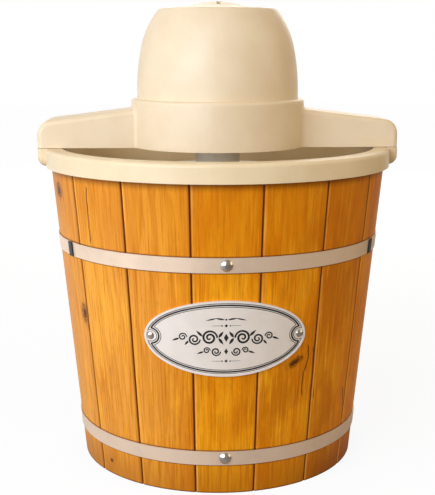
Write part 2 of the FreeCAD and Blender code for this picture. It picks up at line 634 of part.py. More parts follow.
def make_liner():
    """Tub, rim, ears, slots and pivot nub in one moulding."""
    body = new_body("Liner")
    sketch = new_sketch(body, "XY_Plane", RIM_LOW)
    outline(sketch, rectangle(f"-{HALF_WIDTH}", HALF_WIDTH, "-arm_width / 2", "arm_width / 2"))
    pull(body, sketch, "rim_depth")
    half = value(HALF_WIDTH)
    low = value(RIM_LOW)
    soften(body, "ear_edge", lambda edge: near(edge.BoundBox.ZLength, value("rim_depth")))
    soften(body, "ear_round", lambda edge: near(edge.BoundBox.ZMax, low)
           and near(abs(edge.BoundBox.XMin), half) and near(abs(edge.BoundBox.XMax), half))
    revolve(body, [("0", BOARD_TOP), (liner_radius(BOARD_TOP), BOARD_TOP), (liner_radius(RIM_LOW), RIM_LOW),
                   (RIM_RADIUS, RIM_LOW), (RIM_RADIUS, f"{RIM_TOP} - rim_round"),
                   (f"{RIM_RADIUS} - rim_round", RIM_TOP, "rim_round", 1), ("0", RIM_TOP)])
    below = f"({RIM_LOW} - {CUT})"
    above = "(stave_height + fit_gap)"
    revolve(body, [(liner_radius(below), below), (f"{outer_radius(below)} + fit_gap", below),
                   (f"{outer_radius(above)} + fit_gap", above), (liner_radius(above), above)], cut=True)
    over = f"({RIM_TOP} + {CUT})"
    inside = "({} - liner_wall)".format
    revolve(body, [("0", FLOOR_TOP), (inside(liner_radius(FLOOR_TOP)), FLOOR_TOP),
                   (inside(liner_radius(over)), over), ("0", over)], cut=True)
    top = f"{FLOOR_TOP} + nub_height"
    revolve(body, [("0", FLOOR_TOP), ("nub_radius", FLOOR_TOP), ("nub_radius", f"{top} - nub_bevel"),
                   ("nub_radius - nub_bevel", top), ("0", top)])
    sketch = new_sketch(body, "XY_Plane", RIM_TOP)
    for side in ("-1", "1"):
        centre = f"{side} * {SLOT_CENTRE}"
        outline(sketch, rectangle(f"{centre} - slot_width / 2", f"{centre} + slot_width / 2",
                                  "-slot_length / 2", "slot_length / 2"))
    pull(body, sketch, "slot_depth", cut=True, down=True)
    node("liner", body)


# Canister, lid and dasher

def make_canister():
    cup = "(nub_radius + run_gap)"
    bead = "(can_radius + bead_size)"
    node("canister", turned("Canister", [
        ("0", CUP_UNDER), (cup, CUP_UNDER), (cup, CAN_BASE), ("can_radius", CAN_BASE),
        ("can_radius", f"{CAN_TOP} - bead_size"), (bead, f"{CAN_TOP} - bead_size"), (bead, CAN_TOP),
        ("can_radius - can_wall", CAN_TOP), ("can_radius - can_wall", f"{CAN_BASE} + can_wall"),
        (f"{cup} + can_wall", f"{CAN_BASE} + can_wall"), (f"{cup} + can_wall", f"{CUP_UNDER} + can_wall"),
        ("0", f"{CUP_UNDER} + can_wall")]))


def make_lid():
    bore = "(stem_radius + run_gap)"
    skirt = "(can_radius + bead_size + run_gap)"
    hub_top = f"({LID_TOP} - hex_length)"
    cover = turned("LidCover", [
        (bore, CAN_TOP), (skirt, CAN_TOP), (skirt, f"{CAN_TOP} - lid_skirt"),
        (f"{skirt} + lid_wall", f"{CAN_TOP} - lid_skirt"), (f"{skirt} + lid_wall", f"{CAN_TOP} + lid_wall"),
        ("lid_hub_radius", f"{CAN_TOP} + lid_wall"), ("lid_hub_radius", hub_top), (bore, hub_top)])
    hexagon = doc.addObject("Part::Prism", "LidHexagon")
    hexagon.Polygon = 6
    bind(hexagon, "Circumradius", "hex_radius")
    bind(hexagon, "Height", "hex_length")
    bind(hexagon, ".Placement.Base.z", hub_top)
    hole = cylinder("LidBore", bore, f"hex_length + 2 * {CUT}", z=f"{hub_top} - {CUT}")
    hollow = cut("LidHub", hexagon, [hole])
    node("canister_lid", joined("MultiFuse", "CanisterLid", [cover, hollow]))


def make_dasher():
    boss = "(nub_radius + can_wall + 2 * run_gap)"
    foot_low = f"({CAN_BASE} + can_wall + fit_gap)"
    foot_top = f"({foot_low} + dasher_foot_height)"
    cup_top = f"({CUP_UNDER} + can_wall + fit_gap)"
    body = turned("Dasher", [
        ("0", cup_top), (boss, cup_top), (boss, foot_low), ("dasher_foot_radius", foot_low),
        ("dasher_foot_radius", foot_top), ("stem_radius", foot_top), ("stem_radius", STEM_TOP),
        ("0", STEM_TOP)])
    sketch = new_sketch(body, "XY_Plane", STEM_TOP)
    outline(sketch, rectangle("-stem_square / 2", "stem_square / 2", "-stem_square / 2", "stem_square / 2"))
    pull(body, sketch, "stem_grip")
    low = f"({foot_top} - dasher_foot_height / 3)"
    high = f"({CAN_TOP} - paddle_margin)"
    sketch = new_sketch(body, "XZ_Plane")
    outline(sketch, rectangle(f"-{PADDLE_REACH}", PADDLE_REACH, low, high))
    pull(body, sketch, "paddle_thickness", middle=True)
    sketch = new_sketch(body, "XZ_Plane")
    near_stem, far = "(stem_radius + paddle_frame)", f"({PADDLE_REACH} - paddle_frame)"
    tall = f"(({high} - {foot_top} - paddle_frame) / paddle_rows - paddle_frame)"
    for row in range(int(value("paddle_rows"))):
        bottom = f"({foot_top} + paddle_frame + {row} * ({tall} + paddle_frame))"
        outline(sketch, rectangle(near_stem, far, bottom, f"{bottom} + {tall}"))
        outline(sketch, rectangle(f"-{far}", f"-{near_stem}", bottom, f"{bottom} + {tall}"))
    pull(body, sketch, f"paddle_thickness + {CUT}", cut=True, middle=True)
    node("dasher", body)
    blade_outer = "(can_radius - can_wall - blade_gap)"
    blades = []
    for name, side in (("LeftBlade", "-1"), ("RightBlade", "1")):
        blades.append(block(name, "blade_width", "blade_thickness", f"{high} - {low}",
                            f"{side} * ({blade_outer} - blade_width / 2)",
                            f"{side} * (paddle_thickness + blade_thickness) / 2", low))
    node("scraper_blades", joined("Compound", "ScraperBlades", blades))


# Head mouldings

def make_housing():
    """Round collar and two arms, open below, with four bosses for the plates."""
    body = new_body("Housing")
    half, width = value(HALF_WIDTH), value("arm_width / 2")
    sketch = new_sketch(body, "XZ_Plane")
    slope = f"((arm_root_height - arm_tip_height) / ({HALF_WIDTH} - collar_radius))"
    ridge = f"{ARM_ROOT} + {slope} * collar_radius / 2"
    outline(sketch, [(f"-{HALF_WIDTH}", HEAD_BASE), (HALF_WIDTH, HEAD_BASE), (HALF_WIDTH, ARM_TIP),
                     ("collar_radius / 2", ridge), ("-collar_radius / 2", ridge),
                     (f"-{HALF_WIDTH}", ARM_TIP)])
    pull(body, sketch, "arm_width", middle=True)
    soften(body, "arm_corner", lambda edge: near(edge.BoundBox.ZMin, value(ARM_TIP))
           and near(edge.BoundBox.YLength, 2 * width))
    soften(body, "arm_edge", lambda edge: near(edge.BoundBox.YLength, 0)
           and edge.BoundBox.ZMax > value(HEAD_BASE) + CUT)
    revolve(body, [("0", HEAD_BASE), ("collar_radius", HEAD_BASE),
                   ("collar_radius", f"{COLLAR_TOP} - collar_round"),
                   ("collar_radius - collar_round", COLLAR_TOP, "collar_round", 1), ("0", COLLAR_TOP)])
    radius = value("collar_radius")

    def arm_meets_collar(edge):
        spots = [edge.valueAt(edge.FirstParameter + share * (edge.LastParameter - edge.FirstParameter))
                 for share in (0.1, 0.5, 0.9)]
        on_collar = all(near(math.hypot(spot.x, spot.y), radius) for spot in spots)
        return (on_collar and edge.BoundBox.ZMax > value(HEAD_BASE) + CUT
                and all(abs(spot.y) < width + CUT for spot in spots)
                and edge.BoundBox.ZMax < value(f"{COLLAR_TOP} - collar_round") - CUT)

    soften(body, "arm_blend", arm_meets_collar)
    below = f"({HEAD_BASE} - {CUT})"
    inner_half = f"({HALF_WIDTH} - shell_wall)"
    sketch = new_sketch(body, "XZ_Plane")
    outline(sketch, [(f"-{inner_half}", below), (inner_half, below), (inner_half, f"{ARM_TIP} - arm_corner"),
                     (f"{HALF_WIDTH} - arm_corner", f"{ARM_TIP} - shell_wall"),
                     ("collar_radius", f"{ARM_ROOT} - shell_wall"),
                     ("-collar_radius", f"{ARM_ROOT} - shell_wall"),
                     (f"arm_corner - {HALF_WIDTH}", f"{ARM_TIP} - shell_wall"),
                     (f"-{inner_half}", f"{ARM_TIP} - arm_corner")])
    pull(body, sketch, "arm_width - 2 * shell_wall", cut=True, middle=True)
    inside = "(collar_radius - shell_wall)"
    ceiling = f"({COLLAR_TOP} - shell_wall)"
    over = f"({COLLAR_TOP} + {CUT})"
    revolve(body, [("0", below), (inside, below), (inside, ceiling), (OPENING_RADIUS, ceiling),
                   (OPENING_RADIUS, over), ("0", over)], cut=True)
    boss_sketch = new_sketch(body, "XY_Plane", BASE_TOP, turn=45)
    outline(boss_sketch, rectangle(f"{SCREW_CIRCLE} - boss_margin", f"{inside} + shell_wall / 2",
                                   "-boss_width / 2", "boss_width / 2"))
    boss = pull(body, boss_sketch, f"{PLATE_LOW} - {BASE_TOP}")
    hole_sketch = new_sketch(body, "XY_Plane", BASE_TOP, turn=45)
    circles(hole_sketch, [(SCREW_CIRCLE, "0")], "screw_radius + seat_gap")
    hole = pull(body, hole_sketch, f"{PLATE_LOW} - {BASE_TOP}", cut=True)
    repeat(body, [boss, hole], "4")
    opening = cylinder("GlandOpening", "gland_radius + seat_gap", "collar_radius", z=GLAND_HEIGHT)
    opening.Placement.Rotation = FreeCAD.Rotation(FreeCAD.Vector(1, 0, 0), -90)
    node("head_housing", cut("head_housing", body, [opening]))


def make_dome():
    """Barrel-shaped cover with a low hump on top, a vent slot and a lip that drops into the collar."""
    lip = LIP_RADIUS
    inner_waist = f"({WAIST_RADIUS} - shell_wall)"
    inner_shoulder = f"({SHOULDER_RADIUS} - shell_wall)"
    waist_curve = bulged("waist_inset", "waist_rise", "waist_bulge")
    shoulder_curve = bulged("shoulder_inset", "shoulder_rise", "shoulder_bulge")
    inner_curve = bulged("shoulder_inset", "shoulder_rise - shell_wall", "shoulder_bulge")
    hollow_curve = bulged(f"{HUMP_RADIUS} / 2", "hump_hollow_rise", "hump_hollow_bulge")
    round_curve = bulged(f"{HUMP_RADIUS} / 2", "hump_round_rise", "hump_round_bulge")
    body = turned("Dome", [
        (f"{lip} - shell_wall", f"{COLLAR_TOP} - spigot_length"), (lip, f"{COLLAR_TOP} - spigot_length"),
        (lip, COLLAR_TOP), (DOME_RADIUS, COLLAR_TOP), (DOME_RADIUS, DOME_FOOT),
        (WAIST_RADIUS, WAIST, waist_curve, 1), (SHOULDER_RADIUS, SHOULDER, shoulder_curve, 1),
        (HUMP_RADIUS, HUMP_FOOT), (f"{HUMP_RADIUS} / 2", HUMP_MIDDLE, hollow_curve, -1),
        ("0", DOME_TOP, round_curve, 1), ("0", f"{DOME_TOP} - shell_wall"),
        (HUMP_RADIUS, f"{HUMP_FOOT} - shell_wall"), (inner_shoulder, f"{SHOULDER} - shell_wall"),
        (inner_waist, WAIST, inner_curve, -1),
        (f"{DOME_RADIUS} - shell_wall", DOME_FOOT, waist_curve, -1), (f"{lip} - shell_wall", COLLAR_TOP)])
    soften(body, "shoulder_round", lambda edge: near(edge.BoundBox.ZMin, value(SHOULDER))
           and near(edge.BoundBox.XMax, value(SHOULDER_RADIUS)))
    sketch = new_sketch(body, "XY_Plane", DOME_TOP)
    outline(sketch, rectangle("-vent_width / 2", "vent_width / 2",
                              "-(vent_start + vent_length)", "-vent_start"))
    pull(body, sketch, f"{DOME_TOP} - {SHOULDER} + shell_wall", cut=True, down=True)
    node("dome_cover", body)


def make_base_plate():
    """Floor of the head, with posts for the stem holder."""
    body = new_body("BasePlate")
    inset = "(shell_wall + fit_gap)"
    arm_end, arm_side = f"({HALF_WIDTH} - {inset})", f"(arm_width / 2 - {inset})"
    sketch = new_sketch(body, "XY_Plane", HEAD_BASE)
    outline(sketch, rectangle(f"-{arm_end}", arm_end, f"-{arm_side}", arm_side))
    pull(body, sketch, "base_thickness")
    sketch = new_sketch(body, "XY_Plane", HEAD_BASE)
    circles(sketch, [("0", "0")], f"collar_radius - {inset}")
    pull(body, sketch, "base_thickness")
    posts = [(f"{side} * holder_post_x", "-holder_post_y") for side in ("-1", "1")]
    sketch = new_sketch(body, "XY_Plane", HEAD_BASE)
    circles(sketch, posts, "holder_post_radius")
    pull(body, sketch, f"{SECOND_LOW} - {HEAD_BASE}")
    sketch = new_sketch(body, "XY_Plane", f"{SECOND_LOW} + {CUT}")
    circles(sketch, posts, "screw_radius + seat_gap")
    pull(body, sketch, f"screw_length + {CUT}", cut=True, down=True)
    sketch = new_sketch(body, "XY_Plane", f"{BASE_TOP} + {CUT}")
    circles(sketch, [("0", "0")], f"{HUB_RADIUS} + fit_gap")
    circles(sketch, [("0", value_text(gear_places()["second"].y))], "pin_radius + seat_gap")
    pull(body, sketch, f"base_thickness + 2 * {CUT}", cut=True, down=True)
    sketch = new_sketch(body, "XY_Plane", f"{BASE_TOP} + {CUT}", turn=45)
    circles(sketch, boss_spots(), "screw_radius + seat_gap")
    pull(body, sketch, f"base_thickness + 2 * {CUT}", cut=True, down=True)
    node("base_plate", body)


def make_tongues():
    """A tongue under the end of each arm, which drops into the slot in the ear below it."""
    low = f"({RIM_TOP} - slot_depth + fit_gap)"
    tongues = [block(name, "slot_width - 2 * fit_gap", "slot_length - 2 * fit_gap", f"{HEAD_BASE} - {low}",
                     f"{side} * {SLOT_CENTRE}", "0", low)
               for name, side in (("LeftTongue", "-1"), ("RightTongue", "1"))]
    node("locating_tongues", joined("Compound", "LocatingTongues", tongues))


def boss_spots():
    """Screw places, in a frame turned to the bosses."""
    return [(SCREW_CIRCLE, "0"), ("0", SCREW_CIRCLE), (f"-{SCREW_CIRCLE}", "0"), ("0", f"-{SCREW_CIRCLE}")]


def screw(name, x, y, z, up):
    """A pan-head screw. Its shank points up or down from its head's face at z."""
    sign = "1" if up else "-1"
    head = f"{z} - {sign} * screw_head_height"
    tip = f"{z} + {sign} * screw_length"
    body = turned(name, [
        ("0", head), ("screw_head_radius", head), ("screw_head_radius", z),
        ("screw_radius", z), ("screw_radius", tip), ("0", tip)])
    bind(body, ".Placement.Base.x", x)
    bind(body, ".Placement.Base.y", y)
    return body


def make_screws():
    spots = [(f"{x} * {SCREW_CIRCLE} * sqrt(0.5)", f"{y} * {SCREW_CIRCLE} * sqrt(0.5)")
             for x, y in ((1, 1), (-1, 1), (-1, -1), (1, -1))]
    node("base_screws", joined("Compound", "BaseScrews", [
        screw(f"BaseScrew{number}", x, y, HEAD_BASE, True) for number, (x, y) in enumerate(spots)]))
    node("plate_screws", joined("Compound", "PlateScrews", [
        screw(f"PlateScrew{number}", x, y, PLATE_TOP, False) for number, (x, y) in enumerate(spots)]))
    node("holder_screws", joined("Compound", "HolderScrews", [
        screw(f"HolderScrew{number}", f"{side} * holder_post_x", "-holder_post_y",
              f"{SECOND_LOW} + holder_thickness", False) for number, side in enumerate((-1, 1))]))


def make_gland():
    """Rubber gland in the back of the collar, turned about Y."""
    wall_out = "(collar_radius + fit_gap)"
    wall_in = "(collar_radius - 2 * shell_wall)"
    profile = [("gland_bore", wall_in), ("gland_lip", wall_in), ("gland_lip", f"{wall_in} + shell_wall / 2"),
               ("gland_radius", f"{wall_in} + shell_wall / 2"), ("gland_radius", wall_out),
               ("gland_flange", wall_out), ("gland_flange", f"{wall_out} + gland_flange_length"),
               ("gland_bore", f"{wall_out} + gland_flange_length")]
    body = turned("CordGland", profile)
    body.Placement = FreeCAD.Placement(FreeCAD.Vector(), FreeCAD.Rotation(FreeCAD.Vector(1, 0, 0), -90))
    bind(body, ".Placement.Base.z", GLAND_HEIGHT)
    node("cord_gland", body)


# Gear train

def value_text(number):
    """A worked-out number as an expression."""
    return f"{number:.9f}"


def gear_places():
    """Centres of the first and second gears. The motor and the output share the Z axis."""
    first = value(f"{FIRST_MODULE} * (pinion_teeth + first_large_teeth) / 2")
    between = value(f"{SECOND_MODULE} * (first_small_teeth + second_large_teeth) / 2")
    second = value(f"{THIRD_MODULE} * (second_small_teeth + output_teeth) / 2")
    along = (first ** 2 - between ** 2 + second ** 2) / (2 * second)
    aside = math.sqrt(first ** 2 - along ** 2)
    return {"axis": FreeCAD.Vector(), "first": FreeCAD.Vector(aside, along, 0),
            "second": FreeCAD.Vector(0, second, 0)}


def direction(start, end):
    return math.atan2(end.y - start.y, end.x - start.x)


def involute(angle):
    return math.tan(angle) - angle


def toothed(teeth, module, phase, low, high, centre):
    """A spur gear with a tooth centred on the angle phase, as a solid between two heights."""
    teeth, module = int(value(teeth)), value(module)
    pitch = teeth * module / 2
    base = pitch * math.cos(PRESSURE_ANGLE)
    root, tip = pitch - DEDENDUM * module, pitch + ADDENDUM * module
    half_tooth = math.pi / teeth / 2 * TOOTH_SHARE
    flank = []
    for radius in (max(root, base), pitch - DEDENDUM * module / 4, pitch, pitch + ADDENDUM * module / 2, tip):
        lean = involute(math.acos(min(1, base / radius)))
        flank.append((radius, half_tooth + involute(PRESSURE_ANGLE) - lean))
    flank = [(root, flank[0][1])] + [spot for spot in flank if spot[0] > root + seat_of(module)]
    points = []
    for number in range(teeth):
        middle = phase + number * 2 * math.pi / teeth
        for radius, half in flank:
            points.append(polar(radius, middle - half))
        for radius, half in reversed(flank):
            points.append(polar(radius, middle + half))
    points.append(points[0])
    face = Part.Face(Part.makePolygon(points))
    solid = face.extrude(FreeCAD.Vector(0, 0, value(high) - value(low)))
    solid.translate(centre + FreeCAD.Vector(0, 0, value(low)))
    return solid


def seat_of(module):
    """Shortest flank step that is kept."""
    return module / 50


def polar(radius, angle):
    return FreeCAD.Vector(radius * math.cos(angle), radius * math.sin(angle), 0)


def tube(radius, low, high, centre):
    foot = centre + FreeCAD.Vector(0, 0, value(low))
    return Part.makeCylinder(value(radius), value(high) - value(low), foot)


def gear_node(name, solids, bore, centre):
    """Join a gear's toothed rings and hubs, and bore them."""
    solid = solids[0].multiFuse(solids[1:]) if len(solids) > 1 else solids[0]
    box = solid.BoundBox
    foot = centre + FreeCAD.Vector(0, 0, box.ZMin - CUT)
    drill = Part.makeCylinder(value(bore), box.ZLength + 2 * CUT, foot)
    item = doc.addObject("Part::Feature", name)
    item.Shape = solid.cut(drill)
    item.Placement = FreeCAD.Placement()
    node(name, item)


def make_gears():
    """Each mesh has a tooth of the driver on the line of centres and a gap of the follower facing it."""
    places = gear_places()
    axis, first, second = places["axis"], places["first"], places["second"]
    gap = {name: math.pi / int(value(name))
           for name in ("first_large_teeth", "second_large_teeth", "output_teeth")}
    bore = "pin_radius + run_gap"
    top = f"({PLATE_LOW} - fit_gap)"
    rim_gap = "layer_gap / 4"
    gear_node("motor_pinion", [toothed("pinion_teeth", FIRST_MODULE, direction(axis, first),
                                       f"{FIRST_LOW} - {rim_gap}", f"{FIRST_TOP} + {rim_gap}", axis)],
              "shaft_radius + seat_gap", axis)
    gear_node("first_gear", [
        toothed("first_large_teeth", FIRST_MODULE, direction(first, axis) + gap["first_large_teeth"],
                FIRST_LOW, FIRST_TOP, first),
        toothed("first_small_teeth", SECOND_MODULE, direction(first, second), SECOND_LOW, FIRST_LOW, first),
        tube("gear_hub_radius", FIRST_TOP, top, first)], bore, first)
    gear_node("second_gear", [
        toothed("second_large_teeth", SECOND_MODULE, direction(second, first) + gap["second_large_teeth"],
                SECOND_LOW, SECOND_TOP, second),
        toothed("second_small_teeth", THIRD_MODULE, direction(second, axis),
                f"{OUTPUT_LOW} - {rim_gap}", SECOND_LOW, second),
        tube("gear_hub_radius", f"{BASE_TOP} + fit_gap", f"{OUTPUT_LOW} - {rim_gap}", second),
        tube("gear_hub_radius", SECOND_TOP, top, second)], bore, second)
    gear_node("output_gear", [
        toothed("output_teeth", THIRD_MODULE, direction(axis, second) + gap["output_teeth"],
                OUTPUT_LOW, OUTPUT_TOP, axis)], f"{SLEEVE_RADIUS} + seat_gap", axis)


def make_gear_pins():
    first, second = gear_places()["first"], gear_places()["second"]
    head_top = f"({SECOND_LOW} - fit_gap)"
    pin = turned("FirstPin", [
        ("0", f"{head_top} - pin_head_height"), ("gear_hub_radius", f"{head_top} - pin_head_height"),
        ("gear_hub_radius", head_top), ("pin_radius", head_top), ("pin_radius", PLATE_TOP), ("0", PLATE_TOP)])
    pin.Placement.Base = first
    node("first_gear_pin", pin)
    node("second_gear_pin", cylinder("SecondPin", "pin_radius", f"{PLATE_TOP} - {HEAD_BASE}",
                                     value_text(second.x), value_text(second.y), HEAD_BASE))


def make_drive_hub():
    """Hub that carries the output gear and takes the lid's hexagon from below."""
    bore = f"({POST_RADIUS} + run_gap)"
    flange = f"({HUB_RADIUS} + thrust_lip)"
    thrust_low = f"({BASE_TOP} + fit_gap)"
    thrust_top = f"({thrust_low} + thrust_thickness)"
    body = turned("DriveHubBody", [
        (bore, DRIVE_LOW), (HUB_RADIUS, DRIVE_LOW), (HUB_RADIUS, thrust_low),
        (flange, thrust_low), (flange, thrust_top), (HUB_RADIUS, thrust_top),
        (HUB_RADIUS, OUTPUT_LOW), (SLEEVE_RADIUS, OUTPUT_LOW), (SLEEVE_RADIUS, OUTPUT_TOP),
        (bore, OUTPUT_TOP)])
    socket = doc.addObject("Part::Prism", "HexSocket")
    socket.Polygon = 6
    bind(socket, "Circumradius", SOCKET_RADIUS)
    bind(socket, "Height", f"socket_depth + {CUT}")
    bind(socket, ".Placement.Base.z", f"{DRIVE_LOW} - {CUT}")
    node("drive_hub", cut("drive_hub", body, [socket]))


def make_stem_holder():
    """Fixed post inside the drive hub. Its square hole keeps the dasher's stem from turning."""
    body = new_body("StemHolder")
    sketch = new_sketch(body, "XY_Plane", SECOND_LOW)
    outer_x = "(holder_post_x + holder_post_radius)"
    outer_y = "(holder_post_y + holder_post_radius)"
    outline(sketch, [(f"-{POST_RADIUS}", f"{POST_RADIUS} / 2"), (f"-{POST_RADIUS}", f"-{POST_RADIUS}"),
                     (f"-{outer_x}", "holder_post_radius - holder_post_y"), (f"-{outer_x}", f"-{outer_y}"),
                     (outer_x, f"-{outer_y}"), (outer_x, "holder_post_radius - holder_post_y"),
                     (POST_RADIUS, f"-{POST_RADIUS}"), (POST_RADIUS, f"{POST_RADIUS} / 2")])
    pull(body, sketch, "holder_thickness")
    sketch = new_sketch(body, "XY_Plane", f"{SOCKET_TOP} + fit_gap")
    circles(sketch, [("0", "0")], POST_RADIUS)
    pull(body, sketch, f"{SECOND_LOW} + holder_thickness - {SOCKET_TOP} - fit_gap")
    sketch = new_sketch(body, "XY_Plane", SOCKET_TOP)
    side = "(stem_square / 2 + fit_gap)"
    outline(sketch, rectangle(f"-{side}", side, f"-{side}", side))
    pull(body, sketch, "stem_grip + 2 * fit_gap", cut=True)
    sketch = new_sketch(body, "XY_Plane", f"{SECOND_LOW} - {CUT}")
    circles(sketch, [(f"{sign} * holder_post_x", "-holder_post_y") for sign in ("-1", "1")],
            "screw_radius + seat_gap")
    pull(body, sketch, f"holder_thickness + 2 * {CUT}", cut=True)
    node("stem_holder", body)


# Motor

def make_gear_plate():
    """Plate on the bosses that carries the gear pins, the lower bush and the motor."""
    first, second = gear_places()["first"], gear_places()["second"]
    low, length = f"{PLATE_LOW} - {CUT}", f"gear_plate_thickness + 2 * {CUT}"
    disc = cylinder("PlateDisc", PLATE_RADIUS, "gear_plate_thickness", z=PLATE_LOW)
    tools = [cylinder("PlateBush", "bush_radius + seat_gap", length, z=low),
             cylinder("PlateFirstPin", "pin_radius + seat_gap", length, value_text(first.x),
                      value_text(first.y), low),
             cylinder("PlateSecondPin", "pin_radius + seat_gap", length, value_text(second.x),
                      value_text(second.y), low)]
    for number, (x, y) in enumerate(((1, 1), (-1, 1), (-1, -1), (1, -1))):
        tools.append(cylinder(f"PlateScrewHole{number}", "screw_radius + seat_gap", length,
                              f"{x} * {SCREW_CIRCLE} * sqrt(0.5)", f"{y} * {SCREW_CIRCLE} * sqrt(0.5)", low))
    for number, side in enumerate((-1, 1)):
        tools.append(cylinder(f"PlateBoltHole{number}", "screw_radius + seat_gap", length,
                              f"{side} * {BOLT_CIRCLE}", "0", low))
    node("gear_plate", cut("gear_plate", disc, tools))


def make_stator():
    """Ring with two poles to the front and back, bored for the rotor and for the bolts."""
    bore = "(rotor_radius + air_gap)"
    inside = "(stator_radius - stator_ring)"
    ring = turned("StatorRing", rectangle(inside, "stator_radius", STATOR_LOW, STATOR_TOP))
    pole_length = f"({inside} - {bore} + stator_ring / 2)"
    poles = [block(name, "pole_width", pole_length, "stator_height", "0",
                   f"{side} * ({inside} + stator_ring / 2 - {pole_length} / 2)", STATOR_LOW)
             for name, side in (("FrontPole", "-1"), ("BackPole", "1"))]
    whole = joined("MultiFuse", "StatorWhole", [ring] + poles)
    low, length = f"{STATOR_LOW} - {CUT}", f"stator_height + 2 * {CUT}"
    tools = [cylinder("StatorBore", bore, length, z=low)]
    for number, side in enumerate((-1, 1)):
        tools.append(cylinder(f"StatorBoltHole{number}", "screw_radius + seat_gap", length,
                              f"{side} * {BOLT_CIRCLE}", "0", low))
    node("motor_stator", cut("motor_stator", whole, tools))
    coils = []
    for name, side in (("FrontCoil", "-1"), ("BackCoil", "1")):
        centre = f"{side} * ({inside} - coil_length / 2 - coil_thickness)"
        outer = block(name + "Outer", "pole_width + 2 * coil_thickness", "coil_length",
                      "stator_height + 2 * coil_thickness", "0", centre, f"{STATOR_LOW} - coil_thickness")
        inner = block(name + "Inner", "pole_width + 2 * seat_gap", f"coil_length + 2 * {CUT}",
                      "stator_height + 2 * seat_gap", "0", centre, f"{STATOR_LOW} - seat_gap")
        coils.append(cut(name, outer, [inner]))
    node("motor_coils", joined("Compound", "MotorCoils", coils))


def make_motor_frame():
    """Spacers, upper bracket, bolts and bushes."""
    spacers, bolts = [], []
    for number, side in enumerate((-1, 1)):
        x = f"{side} * {BOLT_CIRCLE}"
        for name, low, length in (("Lower", PLATE_TOP, "lower_spacer_length"),
                                  ("Upper", STATOR_TOP, "upper_spacer_length")):
            sleeve = cylinder(f"{name}Spacer{number}Sleeve", "spacer_radius", length, x, "0", low)
            hole = cylinder(f"{name}Spacer{number}Hole", "screw_radius + seat_gap", length, x, "0", low)
            spacers.append(cut(f"{name}Spacer{number}", sleeve, [hole]))
        head = cylinder(f"BoltHead{number}", "screw_head_radius", "screw_head_height", x, "0", BRACKET_TOP)
        shank = cylinder(f"BoltShank{number}", "screw_radius", f"{BRACKET_TOP} - {PLATE_LOW}",
                         x, "0", PLATE_LOW)
        bolts.append(joined("MultiFuse", f"MotorBolt{number}", [head, shank]))
    node("motor_spacers", joined("Compound", "MotorSpacers", spacers))
    node("motor_bolts", joined("Compound", "MotorBolts", bolts))
    low, length = f"{BRACKET_LOW} - {CUT}", f"bracket_thickness + 2 * {CUT}"
    bar = block("BracketBar", f"2 * ({BOLT_CIRCLE} + spacer_radius)", "bracket_width", "bracket_thickness",
                "0", "0", BRACKET_LOW)
    tools = [cylinder("BracketBush", "bush_radius + seat_gap", length, z=low)]
    for number, side in enumerate((-1, 1)):
        tools.append(cylinder(f"BracketBoltHole{number}", "screw_radius + seat_gap", length,
                              f"{side} * {BOLT_CIRCLE}", "0", low))
    node("motor_bracket", cut("motor_bracket", bar, tools))
    bushes = []
    for name, low in (("LowerBush", LOWER_BUSH_LOW), ("UpperBush", UPPER_BUSH_LOW)):
        sleeve = cylinder(name + "Sleeve", "bush_radius", "bush_length", z=low)
        hole = cylinder(name + "Hole", "shaft_radius + run_gap", "bush_length", z=low)
        bushes.append(cut(name, sleeve, [hole]))
    node("motor_bushes", joined("Compound", "MotorBushes", bushes))


def make_rotor():
    """Shaft, core and cooling fan."""
    shaft_low = f"({FIRST_LOW} - layer_gap / 2)"
    shaft_length = f"{FAN_LOW} + fan_height - {shaft_low}"
    node("rotor_shaft", cylinder("RotorShaft", "shaft_radius", shaft_length, z=shaft_low))
    bore = "(shaft_radius + seat_gap)"
    node("rotor_core", turned("RotorCore", rectangle(bore, "rotor_radius", STATOR_LOW, STATOR_TOP)))
    body = turned("CoolingFan", [
        (bore, FAN_LOW), ("fan_radius", FAN_LOW), ("fan_radius", f"{FAN_LOW} + fan_disc"),
        ("fan_hub", f"{FAN_LOW} + fan_disc"), ("fan_hub", f"{FAN_LOW} + fan_height"),
        (bore, f"{FAN_LOW} + fan_height")])
    sketch = new_sketch(body, "XY_Plane", FAN_LOW)
    outline(sketch, rectangle("fan_hub - fan_disc", "fan_radius", "-fan_disc / 2", "fan_disc / 2"))
    repeat(body, [pull(body, sketch, "fan_height")], "fan_blades")
    node("cooling_fan", body)


def write_parts():
    """Refuse a failed object or shape, then write one file for each piece."""
    doc.recompute()
    failed = [item.Name for item in doc.Objects if {"Invalid", "Error"} & set(item.State)]
    if failed:
        raise RuntimeError("failed: " + ", ".join(failed))
    for name, item in nodes.items():
        if item.Shape.isNull() or not item.Shape.isValid() or not item.Shape.Solids:
            raise RuntimeError("bad shape: " + name)
    os.makedirs("parts", exist_ok=True)
    for name, item in nodes.items():
        item.Shape.exportStep(f"parts/{name}.step")


hoop_rivet_holes, plate_rivet_holes, plate_rivet_angle = make_rivets()
make_staves(hoop_rivet_holes, plate_rivet_holes, plate_rivet_angle)
make_board()
make_liner()
make_hoops(hoop_rivet_holes)
make_nameplate(plate_rivet_holes)
make_canister()
make_lid()
make_dasher()
make_housing()
make_dome()
make_base_plate()
make_tongues()
make_screws()
make_gland()
make_gears()
make_gear_pins()
make_drive_hub()
make_stem_holder()
make_gear_plate()
make_stator()
make_motor_frame()
make_rotor()
write_parts()
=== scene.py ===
"""Looks of an ice cream maker: a wooden bucket with a plastic rim, and a motor head that rests across it."""

import json
import math

